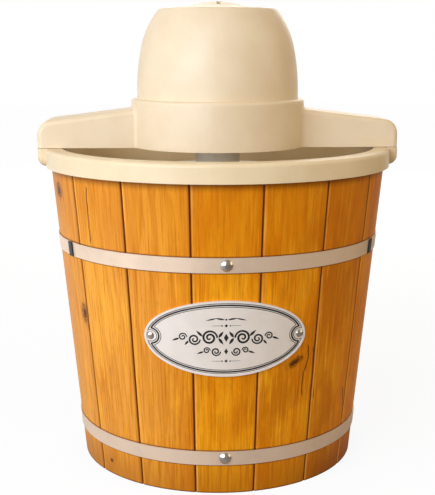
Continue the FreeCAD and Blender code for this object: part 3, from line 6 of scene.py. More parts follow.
import bmesh
import bpy
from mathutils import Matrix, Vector


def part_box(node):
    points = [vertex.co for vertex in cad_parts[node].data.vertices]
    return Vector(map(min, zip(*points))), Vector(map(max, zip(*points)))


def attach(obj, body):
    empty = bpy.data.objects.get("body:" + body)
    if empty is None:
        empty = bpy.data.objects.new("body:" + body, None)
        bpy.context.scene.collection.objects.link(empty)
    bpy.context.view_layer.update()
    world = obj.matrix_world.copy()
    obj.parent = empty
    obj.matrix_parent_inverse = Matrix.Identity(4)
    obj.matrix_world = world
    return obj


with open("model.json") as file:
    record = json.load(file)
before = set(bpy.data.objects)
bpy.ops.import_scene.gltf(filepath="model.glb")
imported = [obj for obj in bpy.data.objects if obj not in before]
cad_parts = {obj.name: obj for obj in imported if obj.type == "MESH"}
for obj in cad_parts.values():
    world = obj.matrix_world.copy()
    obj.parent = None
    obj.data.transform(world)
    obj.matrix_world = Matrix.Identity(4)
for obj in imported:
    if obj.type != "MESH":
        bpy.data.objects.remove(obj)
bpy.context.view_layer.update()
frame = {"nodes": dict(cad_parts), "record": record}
nodes = frame["nodes"]
MM = 0.001


# Sizes read from the frame

RING_BAND = 0.5 * MM


def radius_at(node, level):
    """Outer radius of a node's points near a level."""
    ring = [v.co for v in nodes[node].data.vertices if abs(v.co.z - level) < RING_BAND]
    return max(math.hypot(co.x, co.y) for co in ring)


STAVES = sorted(name for name in nodes if name.startswith("stave_"))
STAVE_STEP = 2 * math.pi / len(STAVES)
STAVE_LOW, STAVE_HIGH = (corner.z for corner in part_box(STAVES[0]))
BASE_RADIUS = radius_at(STAVES[0], STAVE_LOW)
FLARE = (radius_at(STAVES[0], STAVE_HIGH) - BASE_RADIUS) / (STAVE_HIGH - STAVE_LOW)
MIDDLE_RADIUS = BASE_RADIUS + FLARE * STAVE_HIGH / 2
STAVE_HALF = MIDDLE_RADIUS * STAVE_STEP / 2

HOOP_EDGES = [corner.z for hoop in ("hoop_upper_front", "hoop_lower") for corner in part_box(hoop)]
RIM_SKIRT = 15.7 * MM
RIM_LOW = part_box("liner")[1].z - RIM_SKIRT

PLATE_LOW, PLATE_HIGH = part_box("nameplate")
PLATE_HALF = PLATE_HIGH.x
PLATE_RISE = (PLATE_HIGH.z - PLATE_LOW.z) / 2
PLATE_LEVEL = (PLATE_HIGH.z + PLATE_LOW.z) / 2
PLATE_FACE = 1.12 * MM
RIVET_RADIUS = 3.3 * MM
RIVET_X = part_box("nameplate_rivets")[1].x - RIVET_RADIUS


# Shader nodes

NOISE_SPAN = (0.3, 0.7)


class Shading:
    """A node tree with one output, whose other nodes are added one at a time."""

    def __init__(self, tree, output):
        self.tree = tree
        self.tree.nodes.clear()
        self.output = self.add(output)

    def feed(self, socket, source):
        """Link a socket to another one, or set its value."""
        if isinstance(source, bpy.types.NodeSocket):
            self.tree.links.new(source, socket)
        elif isinstance(source, (tuple, list)) and socket.type == "RGBA":
            socket.default_value = (*source, 1)
        else:
            socket.default_value = source

    def add(self, kind, *inputs, **settings):
        """Add a node, with its first inputs in their own order."""
        node = self.tree.nodes.new("ShaderNode" + kind)
        for name, setting in settings.items():
            setattr(node, name, setting)
        for socket, source in zip(node.inputs, inputs):
            self.feed(socket, source)
        return node

    def show(self, shader):
        self.feed(self.output.inputs[0], shader.outputs[0])

    def show_blend(self, share, first, second):
        self.show(self.add("MixShader", share, first.outputs[0], second.outputs[0]))

    def math(self, operation, *inputs):
        return self.add("Math", *inputs, operation=operation).outputs[0]

    def total(self, first, second):
        return self.math("ADD", first, second)

    def difference(self, first, second):
        return self.math("SUBTRACT", first, second)

    def product(self, first, second):
        return self.math("MULTIPLY", first, second)

    def largest(self, first, second):
        return self.math("MAXIMUM", first, second)

    def length(self, across, up):
        return self.math("SQRT", self.total(self.product(across, across), self.product(up, up)))

    def times(self, vector, *factors):
        return self.add("VectorMath", vector, factors, operation="MULTIPLY").outputs[0]

    def split(self, vector):
        return self.add("SeparateXYZ", vector).outputs[:3]

    def join(self, x, y, z):
        return self.add("CombineXYZ", x, y, z).outputs[0]

    def noise(self, vector, scale, detail=3.0, roughness=0.55):
        node = self.add("TexNoise")
        settings = {"Vector": vector, "Scale": scale, "Detail": detail, "Roughness": roughness}
        for name, source in settings.items():
            self.feed(node.inputs[name], source)
        return node.outputs["Fac"]

    def scaled(self, source, start, end, low, high):
        """A straight ramp from low at start to high at end."""
        return self.add("MapRange", source, start, end, low, high).outputs[0]

    def varied(self, noise, low, high):
        """From low to high over the usual span of a noise."""
        return self.scaled(noise, *NOISE_SPAN, low, high)

    def fade(self, source, start, end, low=0.0, high=1.0):
        """A smooth step from low at start to high at end."""
        return self.add("MapRange", source, start, end, low, high, interpolation_type="SMOOTHSTEP").outputs[0]

    def mix(self, factor, first, second):
        node = self.add("Mix", data_type="RGBA")
        for socket, source in zip((node.inputs[0], node.inputs[6], node.inputs[7]), (factor, first, second)):
            self.feed(socket, source)
        return node.outputs[2]


class Finish(Shading):
    """A material with one main shader, named after its slot."""

    def __init__(self, slot, **sockets):
        self.material = bpy.data.materials.get(slot) or bpy.data.materials.new(slot)
        self.material.use_nodes = True
        super().__init__(self.material.node_tree, "OutputMaterial")
        self.shader = self.add("BsdfPrincipled")
        self.show(self.shader)
        self.set(**sockets)
        self.place = self.add("TexCoord").outputs["Object"]

    def set(self, **sockets):
        """Set or link sockets of the main shader, named in lower case with underscores."""
        for name, source in sockets.items():
            self.feed(self.shader.inputs[name.replace("_", " ").title().replace("Ior", "IOR")], source)

    def bump(self, height, depth):
        node = self.add("Bump")
        self.feed(node.inputs["Height"], height)
        self.feed(node.inputs["Distance"], depth)
        self.feed(node.inputs["Strength"], 1.0)
        self.set(normal=node.outputs[0])

    def around(self):
        """Angle from the front and height, for a piece round the Z axis."""
        x, y, z = self.split(self.place)
        return self.math("ARCTAN2", x, self.product(y, -1.0)), z


# Plastic and metal

# Old plastic loses blue first: the share of its mottle that red, green and blue lose
YELLOWING = (1.0, 1.5, 2.4)
# Uneven gloss: the least and greatest roughness, as shares of the material's own
PLASTIC_GLOSS = (0.94, 1.08)
METAL_GLOSS = (0.8, 1.25)


def moulded(slot, colour, roughness=0.5, grain=1400.0, relief=0.02 * MM, mottle=0.05):
    """Moulded plastic: cloudy colour, a fine skin and slightly uneven gloss."""
    finish = Finish(slot, specular_ior_level=0.5)
    clouds = finish.noise(finish.place, 22.0, 4.0)
    dull = tuple(part * (1 - mottle * fall) for part, fall in zip(colour, YELLOWING))
    finish.set(base_color=finish.mix(finish.fade(clouds, 0.35, 0.68), colour, dull),
               roughness=finish.varied(clouds, *(roughness * share for share in PLASTIC_GLOSS)))
    finish.bump(finish.noise(finish.place, grain, 2.0), relief)
    return finish


def dulled(colour, tarnish):
    return tuple(part * (1 - tarnish) for part in colour)


def metal(slot, colour, roughness=0.3, stretch=(1.0, 1.0, 1.0), scale=900.0, relief=0.01 * MM, tarnish=0.18):
    """Bare metal: streaks left by its making, and patches that have dulled."""
    finish = Finish(slot, metallic=1.0)
    streaks = finish.noise(finish.times(finish.place, *stretch), scale)
    patches = finish.fade(finish.noise(finish.place, 35.0, 4.0), 0.4, 0.75)
    finish.set(base_color=finish.mix(patches, colour, dulled(colour, tarnish)),
               roughness=finish.varied(streaks, *(roughness * share for share in METAL_GLOSS)))
    finish.bump(streaks, relief)
    return finish


def banded(slot, colour, roughness, lines, relief, tarnish, metallic=1.0):
    """Metal with long streaks that run round the Z axis, lines to the metre."""
    finish = Finish(slot, metallic=metallic)
    angle, height = finish.around()
    drawn = finish.join(finish.product(angle, 0.6), 0.0, finish.product(height, lines))
    streaks = finish.noise(drawn, 1.0, 4.0, 0.65)
    patches = finish.fade(finish.noise(finish.place, 28.0, 5.0), 0.42, 0.72)
    finish.set(base_color=finish.mix(patches, colour, dulled(colour, tarnish)),
               roughness=finish.scaled(streaks, 0.25, 0.75, roughness - 0.08, roughness + 0.1))
    finish.bump(streaks, relief)
    return finish


# Wood

# Marks in the wood, in degrees from the front and millimetres up.
# A knot has its half width, half height and slant, and a crack its upper and lower end, where it fades out.
KNOTS = (
    (-58.0, 140.4, 6.5, 9.5, 0.0),
    (25.4, 110.4, 7.4, 4.0, 0.42),
    (-50.1, 12.6, 2.4, 2.0, 0.2),
    (-70.0, 241.7, 8.0, 7.0, 0.0),
    (118.0, 92.0, 7.0, 9.0, 0.1),
    (-151.0, 176.0, 6.0, 7.0, -0.2),
)
CRACKS = (
    (30.1, 125.0, 31.3, 108.5),
    (31.4, 113.0, 29.0, 97.5),
    (29.1, 102.0, 29.3, 78.0),
    (32.7, 122.2, 35.0, 72.9),
    (53.1, 75.9, 57.2, 40.8),
    (-57.5, 134.0, -56.3, 124.0),
    (-49.0, 252.0, -49.6, 202.0),
    (140.0, 150.0, 138.5, 96.0),
)
CRACK_FADE = 4.0
CRACK_EDGE = (0.8 * MM, 0.3 * MM)
CRACK_WANDER = 1.1 * MM
KNOT_RIPPLES = 10.0
KNOT_DEPTH = 0.25 * MM

WOOD_PALE = (0.99, 0.425, 0.010)
WOOD_MAIN = (0.84, 0.275, 0.002)
WOOD_DEEP = (0.56, 0.155, 0.001)
WOOD_GLEAM = (0.99, 0.47, 0.020)
# Painted sheen: the pale colour laid on the side facing the lamps and on each stave's left edge
WOOD_SHEEN = (0.98, 0.46, 0.085)
# Painted shade: the darker brown laid on the foot and along each stave's right edge
WOOD_SHADE = (0.36, 0.10, 0.004)
WOOD_DARK = (0.08, 0.020, 0.003)
WOOD_SEAM = (0.15, 0.024, 0.001)

# Each stave takes its grain from another place in the noise, and has this many year rings to the metre
GRAIN_SHIFT = 3.7
RINGS = 95.0
RING_SWAY = 9.0
STREAK_RELIEF = 0.25
# Painted sheen: the wood is painted paler on the side turned to this angle, towards the lamps
LIT_SIDE = math.radians(-48)
# Painted shade: the foot is darker below the first height, and the wood darker towards the rim between the
# two shaded heights
FOOT_SHADE_HEIGHT = STAVE_HIGH * 0.17
SHADED_HEIGHTS = (STAVE_HIGH * 0.55, STAVE_HIGH * 0.95)
# Painted light on each stave's edges: a pale highlight on the left edge and painted shade on the right edge,
# then the dark joint line
LIT_EDGE = (3.2 * MM, 1.2 * MM)
SHADED_EDGE = (3.4 * MM, 0.6 * MM)
SEAM_EDGE = (1.15 * MM, 0.4 * MM)
# Painted contact shade: a dark line this far either side of the foot and the hoops' edges, and painted shade
# this far up under the rim
CONTACT_SHADE_REACH = 1.7 * MM
RIM_SHADE = 8.0 * MM


class StaveWood(Finish):
    """Varnished pine, sawn along the grain, painted in layers over one tree."""

    def __init__(self):
        super().__init__("stave_wood", specular_ior_level=0.12)
        self.angle, self.height = self.around()
        number = self.math("ROUND", self.math("DIVIDE", self.angle, STAVE_STEP))
        local = self.difference(self.angle, self.product(number, STAVE_STEP))
        self.across = self.product(local, MIDDLE_RADIUS)
        self.stave = self.math("FLOORED_MODULO", number, float(len(STAVES)))
        self.shift = self.product(self.stave, GRAIN_SHIFT)
        # How squarely the wood faces the lamps, for its painted sheen and painted shade
        self.facing_light = self.math("COSINE", self.difference(self.angle, LIT_SIDE))
        self.clouds = self.grain(stretch=0.32, scale=30.0)
        self.streaks = self.grain(stretch=0.03, scale=620.0, detail=5.0)
        self.colour = self.mix(self.fade(self.clouds, 0.4, 0.6), WOOD_PALE, WOOD_MAIN)
        self.hollow = 0.0
        self.paint_grain()
        self.paint_rim_and_foot_shade()
        self.paint_knots()
        self.paint_cracks()
        self.paint_seams()
        self.paint_contact_shade()
        self.set(base_color=self.colour, roughness=self.varied(self.streaks, 0.34, 0.5))
        self.bump(self.difference(self.product(self.streaks, STREAK_RELIEF), self.hollow), KNOT_DEPTH)

    def grain(self, stretch, scale, detail=4.0):
        """Noise drawn out along a stave."""
        drawn = self.join(self.total(self.across, self.shift), self.shift, self.product(self.height, stretch))
        return self.noise(drawn, scale, detail, 0.6)

    def paint(self, share, colour):
        """Lay a colour over those before it."""
        self.colour = self.mix(share, self.colour, colour)

    def paint_grain(self):
        """A tone for each stave, stains, a painted sheen on the side facing the lamps, year rings, gleams of
        painted sheen, streaks and pores.
        """
        chance = self.add("TexWhiteNoise", noise_dimensions="1D")
        self.feed(chance.inputs["W"], self.stave)
        tone, contrast, _ = self.split(chance.outputs["Color"])
        stains = self.grain(stretch=0.5, scale=17.0)
        gleams = self.grain(stretch=0.045, scale=330.0)
        pores = self.grain(stretch=0.06, scale=1500.0, detail=2.0)
        sway = self.product(self.grain(stretch=0.16, scale=16.0, detail=2.0), RING_SWAY)
        rings = self.math("FRACT", self.total(self.product(self.across, RINGS), sway))
        late = self.product(self.fade(rings, 0.25, 0.92), self.fade(rings, 1.0, 0.93))
        self.paint(self.scaled(tone, 0.0, 1.0, 0.0, 0.3), WOOD_DEEP)
        self.paint(self.fade(stains, 0.47, 0.62, high=0.75), WOOD_DEEP)
        # Painted sheen on the side facing the lamps
        self.paint(self.fade(self.facing_light, 0.74, 1.0, high=0.6), WOOD_SHEEN)
        self.paint(self.product(late, self.scaled(contrast, 0.0, 1.0, 0.1, 0.45)), WOOD_DEEP)
        self.paint(self.fade(gleams, 0.5, 0.72, high=0.6), WOOD_GLEAM)
        self.paint(self.fade(self.streaks, 0.46, 0.68, high=0.75), WOOD_DEEP)
        self.paint(self.fade(pores, 0.58, 0.78, high=0.45), WOOD_DARK)

    def paint_rim_and_foot_shade(self):
        """Painted shade: darker towards the rim, and a darker foot, most of all on the side away from the
        lamps.
        """
        self.paint(self.fade(self.height, *SHADED_HEIGHTS, high=0.42), WOOD_DEEP)
        # Painted shade at the foot, deepest on the side away from the lamps
        foot_shade = self.fade(self.height, FOOT_SHADE_HEIGHT, 0.0)
        self.paint(self.product(foot_shade, self.fade(self.facing_light, 0.5, -0.2, low=0.5, high=0.92)), WOOD_SHADE)

    def paint_knots(self):
        """A dark heart, rings and a brown halo for each knot."""
        wobble = self.varied(self.noise(self.place, 260.0), -0.2, 0.2)
        for degrees, level, half, tall, slant in KNOTS:
            turned = self.difference(self.angle, math.radians(degrees))
            across = self.product(turned, MIDDLE_RADIUS / (half * MM))
            up = self.math("DIVIDE", self.difference(self.height, level * MM), tall * MM)
            up = self.difference(up, self.product(across, slant * half / tall))
            reach = self.total(self.length(across, up), wobble)
            ripple = self.fade(self.math("SINE", self.product(reach, KNOT_RIPPLES)), 0.0, 0.8)
            ripple = self.product(ripple, self.fade(reach, 1.35, 0.6, high=0.85))
            heart = self.fade(reach, 0.85, 0.35, high=0.95)
            halo = self.fade(reach, 1.6, 0.4, high=0.45)
            self.paint(self.largest(self.largest(heart, ripple), halo), WOOD_DARK)
            self.hollow = self.largest(self.hollow, heart)

    def paint_cracks(self):
        """Thin dark lines that wander along the grain."""
        drawn = self.times(self.place, 1.0, 1.0, 1.6)
        wander = self.scaled(self.noise(drawn, 70.0), 0.2, 0.8, -CRACK_WANDER, CRACK_WANDER)
        for first, top, last, bottom in CRACKS:
            along = self.scaled(self.height, top * MM, bottom * MM, math.radians(first), math.radians(last))
            gap = self.product(self.difference(self.angle, along), MIDDLE_RADIUS)
            gap = self.math("ABSOLUTE", self.total(gap, wander))
            below_top = self.fade(self.height, top * MM, (top - CRACK_FADE) * MM)
            above_bottom = self.fade(self.height, bottom * MM, (bottom + CRACK_FADE) * MM)
            line = self.fade(gap, *CRACK_EDGE, high=0.85)
            line = self.product(line, self.product(below_top, above_bottom))
            self.paint(line, WOOD_DARK)
            self.hollow = self.largest(self.hollow, line)

    def paint_seams(self):
        """Each stave's left edge is painted pale in places as a highlight, and its right edge painted darker
        as shade; a dark line marks each joint.
        """
        left = self.total(self.across, STAVE_HALF)
        right = self.difference(STAVE_HALF, self.across)
        places = self.fade(self.clouds, 0.4, 0.66, low=0.75, high=0.15)
        # Painted highlight along left edges and painted shade along right edges
        self.paint(self.product(self.fade(left, *LIT_EDGE), places), WOOD_SHEEN)
        self.paint(self.fade(right, *SHADED_EDGE, high=0.6), WOOD_SHADE)
        self.paint(self.fade(self.math("MINIMUM", left, right), *SEAM_EDGE, high=0.94), WOOD_SEAM)

    def paint_contact_shade(self):
        """Painted contact shade: a dark line round the foot and along the hoops' edges, and painted shade up
        under the rim.
        """
        for level in (STAVE_LOW, *HOOP_EDGES):
            gap = self.math("ABSOLUTE", self.difference(self.height, level))
            self.paint(self.fade(gap, CONTACT_SHADE_REACH, 0.0, high=0.85), WOOD_DARK)
        self.paint(self.fade(self.height, RIM_LOW - RIM_SHADE, RIM_LOW, high=0.6), WOOD_DARK)


def board_finish():
    """Plain pine for the bottom board, with its grain running from front to back."""
    pale, warm, brown = (0.62, 0.40, 0.20), (0.50, 0.29, 0.12), (0.36, 0.18, 0.06)
    wood = Finish("board_wood", specular_ior_level=0.3)
    drawn = wood.times(wood.place, 1.0, 0.06, 1.0)
    streaks = wood.noise(drawn, 420.0, 5.0, 0.6)
    colour = wood.mix(wood.fade(wood.noise(drawn, 40.0), 0.35, 0.7), pale, warm)
    wood.set(base_color=wood.mix(wood.fade(streaks, 0.45, 0.75, high=0.6), colour, brown),
             roughness=wood.varied(streaks, 0.55, 0.72))
    wood.bump(streaks, 0.15 * MM)
    return wood


# Nameplate and motor

# The nameplate's border, as shares of its half width and height, and its even roughness there
BORDER_EDGE = (0.945, 0.965)
BORDER_ROUGHNESS = (0.2, 0.2, 0.2)


def nameplate_finish():
    """Brushed nickel, polished on the raised border."""
    bright, worn, polished = (0.84, 0.775, 0.70), (0.80, 0.735, 0.66), (0.86, 0.82, 0.77)
    plate = Finish("nameplate_nickel", metallic=0.1)
    x, _, z = plate.split(plate.place)
    up = plate.math("DIVIDE", plate.difference(z, PLATE_LEVEL), PLATE_RISE)
    reach = plate.length(plate.math("DIVIDE", x, PLATE_HALF), up)
    border = plate.fade(reach, *BORDER_EDGE)
    brushed = plate.noise(plate.times(plate.place, 0.05, 0.05, 1.0), 2600.0)
    field = plate.mix(plate.fade(plate.noise(plate.place, 60.0, 4.0), 0.35, 0.7), bright, worn)
    field_roughness = plate.varied(brushed, 0.42, 0.56)
    plate.set(base_color=plate.mix(border, field, polished),
              roughness=plate.mix(border, field_roughness, BORDER_ROUGHNESS))
    plate.bump(brushed, 0.01 * MM)
    return plate


def enamel_finish():
    """Black enamel laid in the nameplate's lines."""
    black, grey = (0.010, 0.010, 0.012), (0.03, 0.028, 0.028)
    enamel = Finish("enamel_black", specular_ior_level=0.4)
    specks = enamel.noise(enamel.place, 900.0)
    enamel.set(base_color=enamel.mix(enamel.fade(specks, 0.4, 0.75), black, grey),
               roughness=enamel.varied(specks, 0.32, 0.5))
    return enamel


def coil_finish():
    """Enamelled copper wire, wound turn by turn."""
    groove, copper = (0.22, 0.07, 0.02), (0.72, 0.30, 0.11)
    coil = Finish("coil_copper", metallic=0.85)
    turns = coil.add("TexWave", wave_type="BANDS", bands_direction="Y")
    coil.feed(turns.inputs["Scale"], 420.0)
    coil.feed(turns.inputs["Distortion"], 0.6)
    wound = turns.outputs["Fac"]
    coil.set(base_color=coil.mix(wound, groove, copper), roughness=coil.scaled(wound, 0.0, 1.0, 0.45, 0.24))
    coil.bump(wound, 0.2 * MM)
    return coil


SHEET_STEEL = 0.6 * MM


def laminated_finish():
    """Stacked steel sheets, seen as fine level lines."""
    bright, stained, gap = (0.33, 0.34, 0.36), (0.22, 0.215, 0.22), (0.06, 0.06, 0.065)
    core = Finish("core_steel", metallic=1.0)
    _, _, z = core.split(core.place)
    sheets = core.math("FRACT", core.math("DIVIDE", z, SHEET_STEEL))
    line = core.fade(core.math("ABSOLUTE", core.difference(sheets, 0.5)), 0.38, 0.5)
    stains = core.noise(core.place, 120.0, 4.0)
    steel = core.mix(core.fade(stains, 0.4, 0.7), bright, stained)
    core.set(base_color=core.mix(line, steel, gap), roughness=core.varied(stains, 0.36, 0.55))
    core.bump(core.difference(1.0, line), 0.08 * MM)
    return core


FINISHES = (
    StaveWood(),
    board_finish(),
    moulded("liner_plastic", (0.83, 0.68, 0.44), roughness=0.34),
    banded("hoop_steel", (0.88, 0.69, 0.52), 0.42, lines=2600.0, relief=0.02 * MM, tarnish=0.1, metallic=0.5),
    moulded("clip_black", (0.018, 0.017, 0.016), roughness=0.45, grain=700.0, relief=0.03 * MM, mottle=0.3),
    metal("rivet_steel", (0.56, 0.53, 0.49), roughness=0.1, scale=500.0, relief=0.002 * MM, tarnish=0.1),
    nameplate_finish(),
    enamel_finish(),
    moulded("dasher_plastic", (0.80, 0.76, 0.66)),
    moulded("scraper_plastic", (0.74, 0.70, 0.60), roughness=0.45),
    banded("canister_aluminium", (0.80, 0.81, 0.82), 0.3, lines=1800.0, relief=0.03 * MM, tarnish=0.12),
    moulded("lid_plastic", (0.82, 0.81, 0.76), roughness=0.34),
    moulded("head_plastic", (0.83, 0.695, 0.49), roughness=0.43),
    moulded("base_plastic", (0.78, 0.63, 0.42), grain=900.0, relief=0.03 * MM),
    moulded("holder_plastic", (0.72, 0.70, 0.63)),
    moulded("gear_plastic", (0.83, 0.81, 0.74), roughness=0.42),
    moulded("hub_plastic", (0.78, 0.76, 0.69), roughness=0.45),
    metal("plate_steel", (0.62, 0.63, 0.65), roughness=0.34, stretch=(1.0, 0.08, 1.0)),
    laminated_finish(),
    coil_finish(),
    metal("bush_bronze", (0.62, 0.42, 0.18)),
    metal("screw_steel", (0.66, 0.67, 0.69), roughness=0.26),
    moulded("fan_plastic", (0.022, 0.022, 0.024), roughness=0.48, grain=800.0),
    moulded("gland_rubber", (0.02, 0.02, 0.02), roughness=0.62, grain=600.0, relief=0.05 * MM, mottle=0.2),
)
LOOKS = {finish.material.name: finish.material for finish in FINISHES}


# Every solid keeps its shape and gets its material and smooth shading

SMOOTH_ANGLE = math.radians(32)
WELD_GAP = 0.002 * MM


def dress(piece, slot):
    piece.data.materials.clear()
    piece.data.materials.append(LOOKS[slot])


def shade(piece):
    """Smooth faces that meet at a low angle, with wide faces keeping their own direction."""
    mesh = piece.data
    for name in ("custom_normal", "sharp_edge"):
        if name in mesh.attributes:
            mesh.attributes.remove(mesh.attributes[name])
    mesh.polygons.foreach_set("use_smooth", [True] * len(mesh.polygons))
    weld = piece.modifiers.new("Weld", "WELD")
    weld.merge_threshold = WELD_GAP
    edges = piece.modifiers.new("Edges", "EDGE_SPLIT")
    edges.split_angle = SMOOTH_ANGLE
    weighted = piece.modifiers.new("Weighted", "WEIGHTED_NORMAL")
    weighted.mode = "FACE_AREA"
    weighted.keep_sharp = True


for subpart in frame["record"]["subparts"]:
    dress(nodes[subpart["node"]], subpart["material_slot"])
    shade(nodes[subpart["node"]])


# Enamel lines and ornament on the nameplate

# How far the enamel stands out of the plate's face and reaches into it
ENAMEL_PROUD = 0.09 * MM
ENAMEL_SUNK = 0.25 * MM

# The drawing is in millimetres across and up from the plate's centre.
# A border line has its inset from the plate's edge, its radius round each rivet and its width.
BORDER_LINES = (
    (2.3, 4.8, 0.45),
    (3.75, 6.4, 1.3),
    (5.3, 8.1, 0.5),
)
OVAL_STEPS = 400
OVAL_STRIDE = 6
NOTCH_STEPS = 24

RULE_LEVELS = (11.0, -18.5)
RULE_START, RULE_END = 4.4, 11.4
RULE_WIDTHS = (0.34, 0.2)
RULE_DOT_X, RULE_DOT_RADIUS = 3.3, 0.62
RULE_DIAMOND = 1.35

# The right half of the ornament, which the left half mirrors.
# A scroll has its centre, radius, turns, way round and width, and a leaf its root, tip and width.
SCROLLS = (
    ((13.0, 1.0), 6.0, 1.9, -1, 1.7),
    ((25.0, -0.5), 4.6, 1.7, 1, 1.4),
    ((34.0, 1.2), 3.2, 1.5, -1, 1.1),
    ((8.0, -10.5), 3.6, 1.6, 1, 1.2),
    ((15.2, -9.6), 2.6, 1.5, -1, 1.0),
)
LEAVES = (
    ((6.0, 1.2), (2.2, 6.4), 2.2),
    ((6.0, 0.8), (2.2, -4.6), 2.2),
    ((18.5, 2.0), (23.5, 6.8), 2.0),
    ((29.5, -2.0), (32.5, -5.6), 1.7),
    ((36.6, 0.0), (42.5, -2.4), 1.6),
    ((17.6, -10.6), (23.0, -12.6), 1.5),
    ((1.2, 16.0), (9.0, 17.2), 1.4),
    ((8.0, 17.0), (16.0, 15.2), 1.1),
)
SCROLL_STEPS = 40
SCROLL_EYE = 0.35
SCROLL_EASE = 0.8
SCROLL_THIN, SCROLL_SWELL, SCROLL_ROOT = 0.6, 1.2, 0.2
LEAF_STEPS = 10
LEAF_EASE = 0.8
LEAF_POINT = 0.02

# On the middle line: diamonds with their level, half width and half height, and a dot
DIAMONDS = ((1.0, 1.9, 3.4), (-10.4, 1.5, 2.6))
DOT_LEVEL, DOT_RADIUS = 16.0, 0.8
DISC_STEPS = 16


def on_plate(spot, lift):
    """The point of the bucket's cone in front of a spot of the nameplate."""
    x, z = spot[0] * MM, PLATE_LEVEL + spot[1] * MM
    radius = BASE_RADIUS + FLARE * z + lift
    return Vector((x, -math.sqrt(radius ** 2 - x ** 2), z))


def tile(mesh, corners):
    """A thin closed tile over a patch of the nameplate, its corners in turn."""
    face = [mesh.verts.new(on_plate(spot, PLATE_FACE + ENAMEL_PROUD)) for spot in corners]
    back = [mesh.verts.new(on_plate(spot, PLATE_FACE - ENAMEL_SUNK)) for spot in corners]
    mesh.faces.new(face)
    mesh.faces.new(back[::-1])
    for index in range(len(corners)):
        after = (index + 1) % len(corners)
        mesh.faces.new((face[after], face[index], back[index], back[after]))


def stroke(mesh, spots, widths, closed=False):
    """A line of varying width through the spots, as one strip of closed faces."""
    count = len(spots)
    rows = []
    for index, (x, z) in enumerate(spots):
        before = spots[index - 1] if closed or index else spots[index]
        after = spots[(index + 1) % count] if closed or index + 1 < count else spots[index]
        along = Vector((after[0] - before[0], after[1] - before[1])).normalized()
        half = widths[index] / 2
        left = (x - along.y * half, z + along.x * half)
        right = (x + along.y * half, z - along.x * half)
        corners = ((left, ENAMEL_PROUD), (right, ENAMEL_PROUD), (right, -ENAMEL_SUNK), (left, -ENAMEL_SUNK))
        rows.append([mesh.verts.new(on_plate(spot, PLATE_FACE + lift)) for spot, lift in corners])
    pairs = list(zip(rows, rows[1:])) + ([(rows[-1], rows[0])] if closed else [])
    for here, there in pairs:
        for index in range(len(here)):
            after = (index + 1) % len(here)
            mesh.faces.new((here[index], here[after], there[after], there[index]))
    if not closed:
        mesh.faces.new(rows[0][::-1])
        mesh.faces.new(rows[-1])


def arc(centre, radius, start, end, steps):
    turns = [math.radians(start + (end - start) * step / steps) for step in range(steps + 1)]
    return [(centre[0] + radius * math.cos(turn), centre[1] + radius * math.sin(turn)) for turn in turns]


def border_line(mesh, inset, notch, width):
    """A line inside the plate's edge, which turns in round each rivet."""
    half, rise = PLATE_HALF / MM - inset, PLATE_RISE / MM - inset
    rivet = RIVET_X / MM
    # The oval's quarter starts where it leaves the circle round the rivet
    quarter = [(half * x, rise * z) for x, z in arc((0, 0), 1, 0, 90, OVAL_STEPS)]
    first = next(index for index, spot in enumerate(quarter) if math.dist(spot, (rivet, 0)) > notch)
    top_right = quarter[first::OVAL_STRIDE]
    start = math.degrees(math.atan2(top_right[0][1], top_right[0][0] - rivet))
    right_notch = arc((rivet, 0), notch, 360 - start, start, NOTCH_STEPS)[1:-1]
    top = top_right + [(-x, z) for x, z in reversed(top_right[:-1])]
    left_notch = [(-x, z) for x, z in reversed(right_notch)]
    bottom = [(x, -z) for x, z in reversed(top)]
    spots = top + left_notch + bottom + right_notch
    stroke(mesh, spots, [width] * len(spots), closed=True)


def scroll(mesh, centre, radius, turns, start, side, width):
    """A spiral that narrows towards its middle."""
    steps = int(SCROLL_STEPS * turns)
    spots, widths = [], []
    for step in range(steps + 1):
        share = step / steps
        reach = radius * (1 - share) ** SCROLL_EASE + SCROLL_EYE * share
        turn = math.radians(start) + side * share * turns * 2 * math.pi
        spots.append((centre[0] + reach * math.cos(turn), centre[1] + reach * math.sin(turn)))
        widths.append(width * (SCROLL_THIN + (SCROLL_SWELL * share + SCROLL_ROOT) * (1 - share)))
    stroke(mesh, spots, widths)


def leaf(mesh, root, tip, width):
    """A pointed leaf from root to tip, widest nearer its root."""
    line = Vector(tip) - Vector(root)
    shares = [step / LEAF_STEPS for step in range(LEAF_STEPS + 1)]
    spots = [tuple(Vector(root) + line * share) for share in shares]
    widths = [max(LEAF_POINT, width * math.sin(math.pi * share ** LEAF_EASE)) for share in shares]
    stroke(mesh, spots, widths)


def disc(mesh, centre, radius):
    tile(mesh, arc(centre, radius, 0, 360, DISC_STEPS)[:-1])


def diamond(mesh, level, half, rise):
    tile(mesh, [(half, level), (0, level + rise), (-half, level), (0, level - rise)])


def rule(mesh, level):
    """A fine rule with a diamond between two dots."""
    for side in (-1, 1):
        stroke(mesh, [(side * RULE_START, level), (side * RULE_END, level)], RULE_WIDTHS)
        disc(mesh, (side * RULE_DOT_X, level), RULE_DOT_RADIUS)
    diamond(mesh, level, RULE_DIAMOND, RULE_DIAMOND)


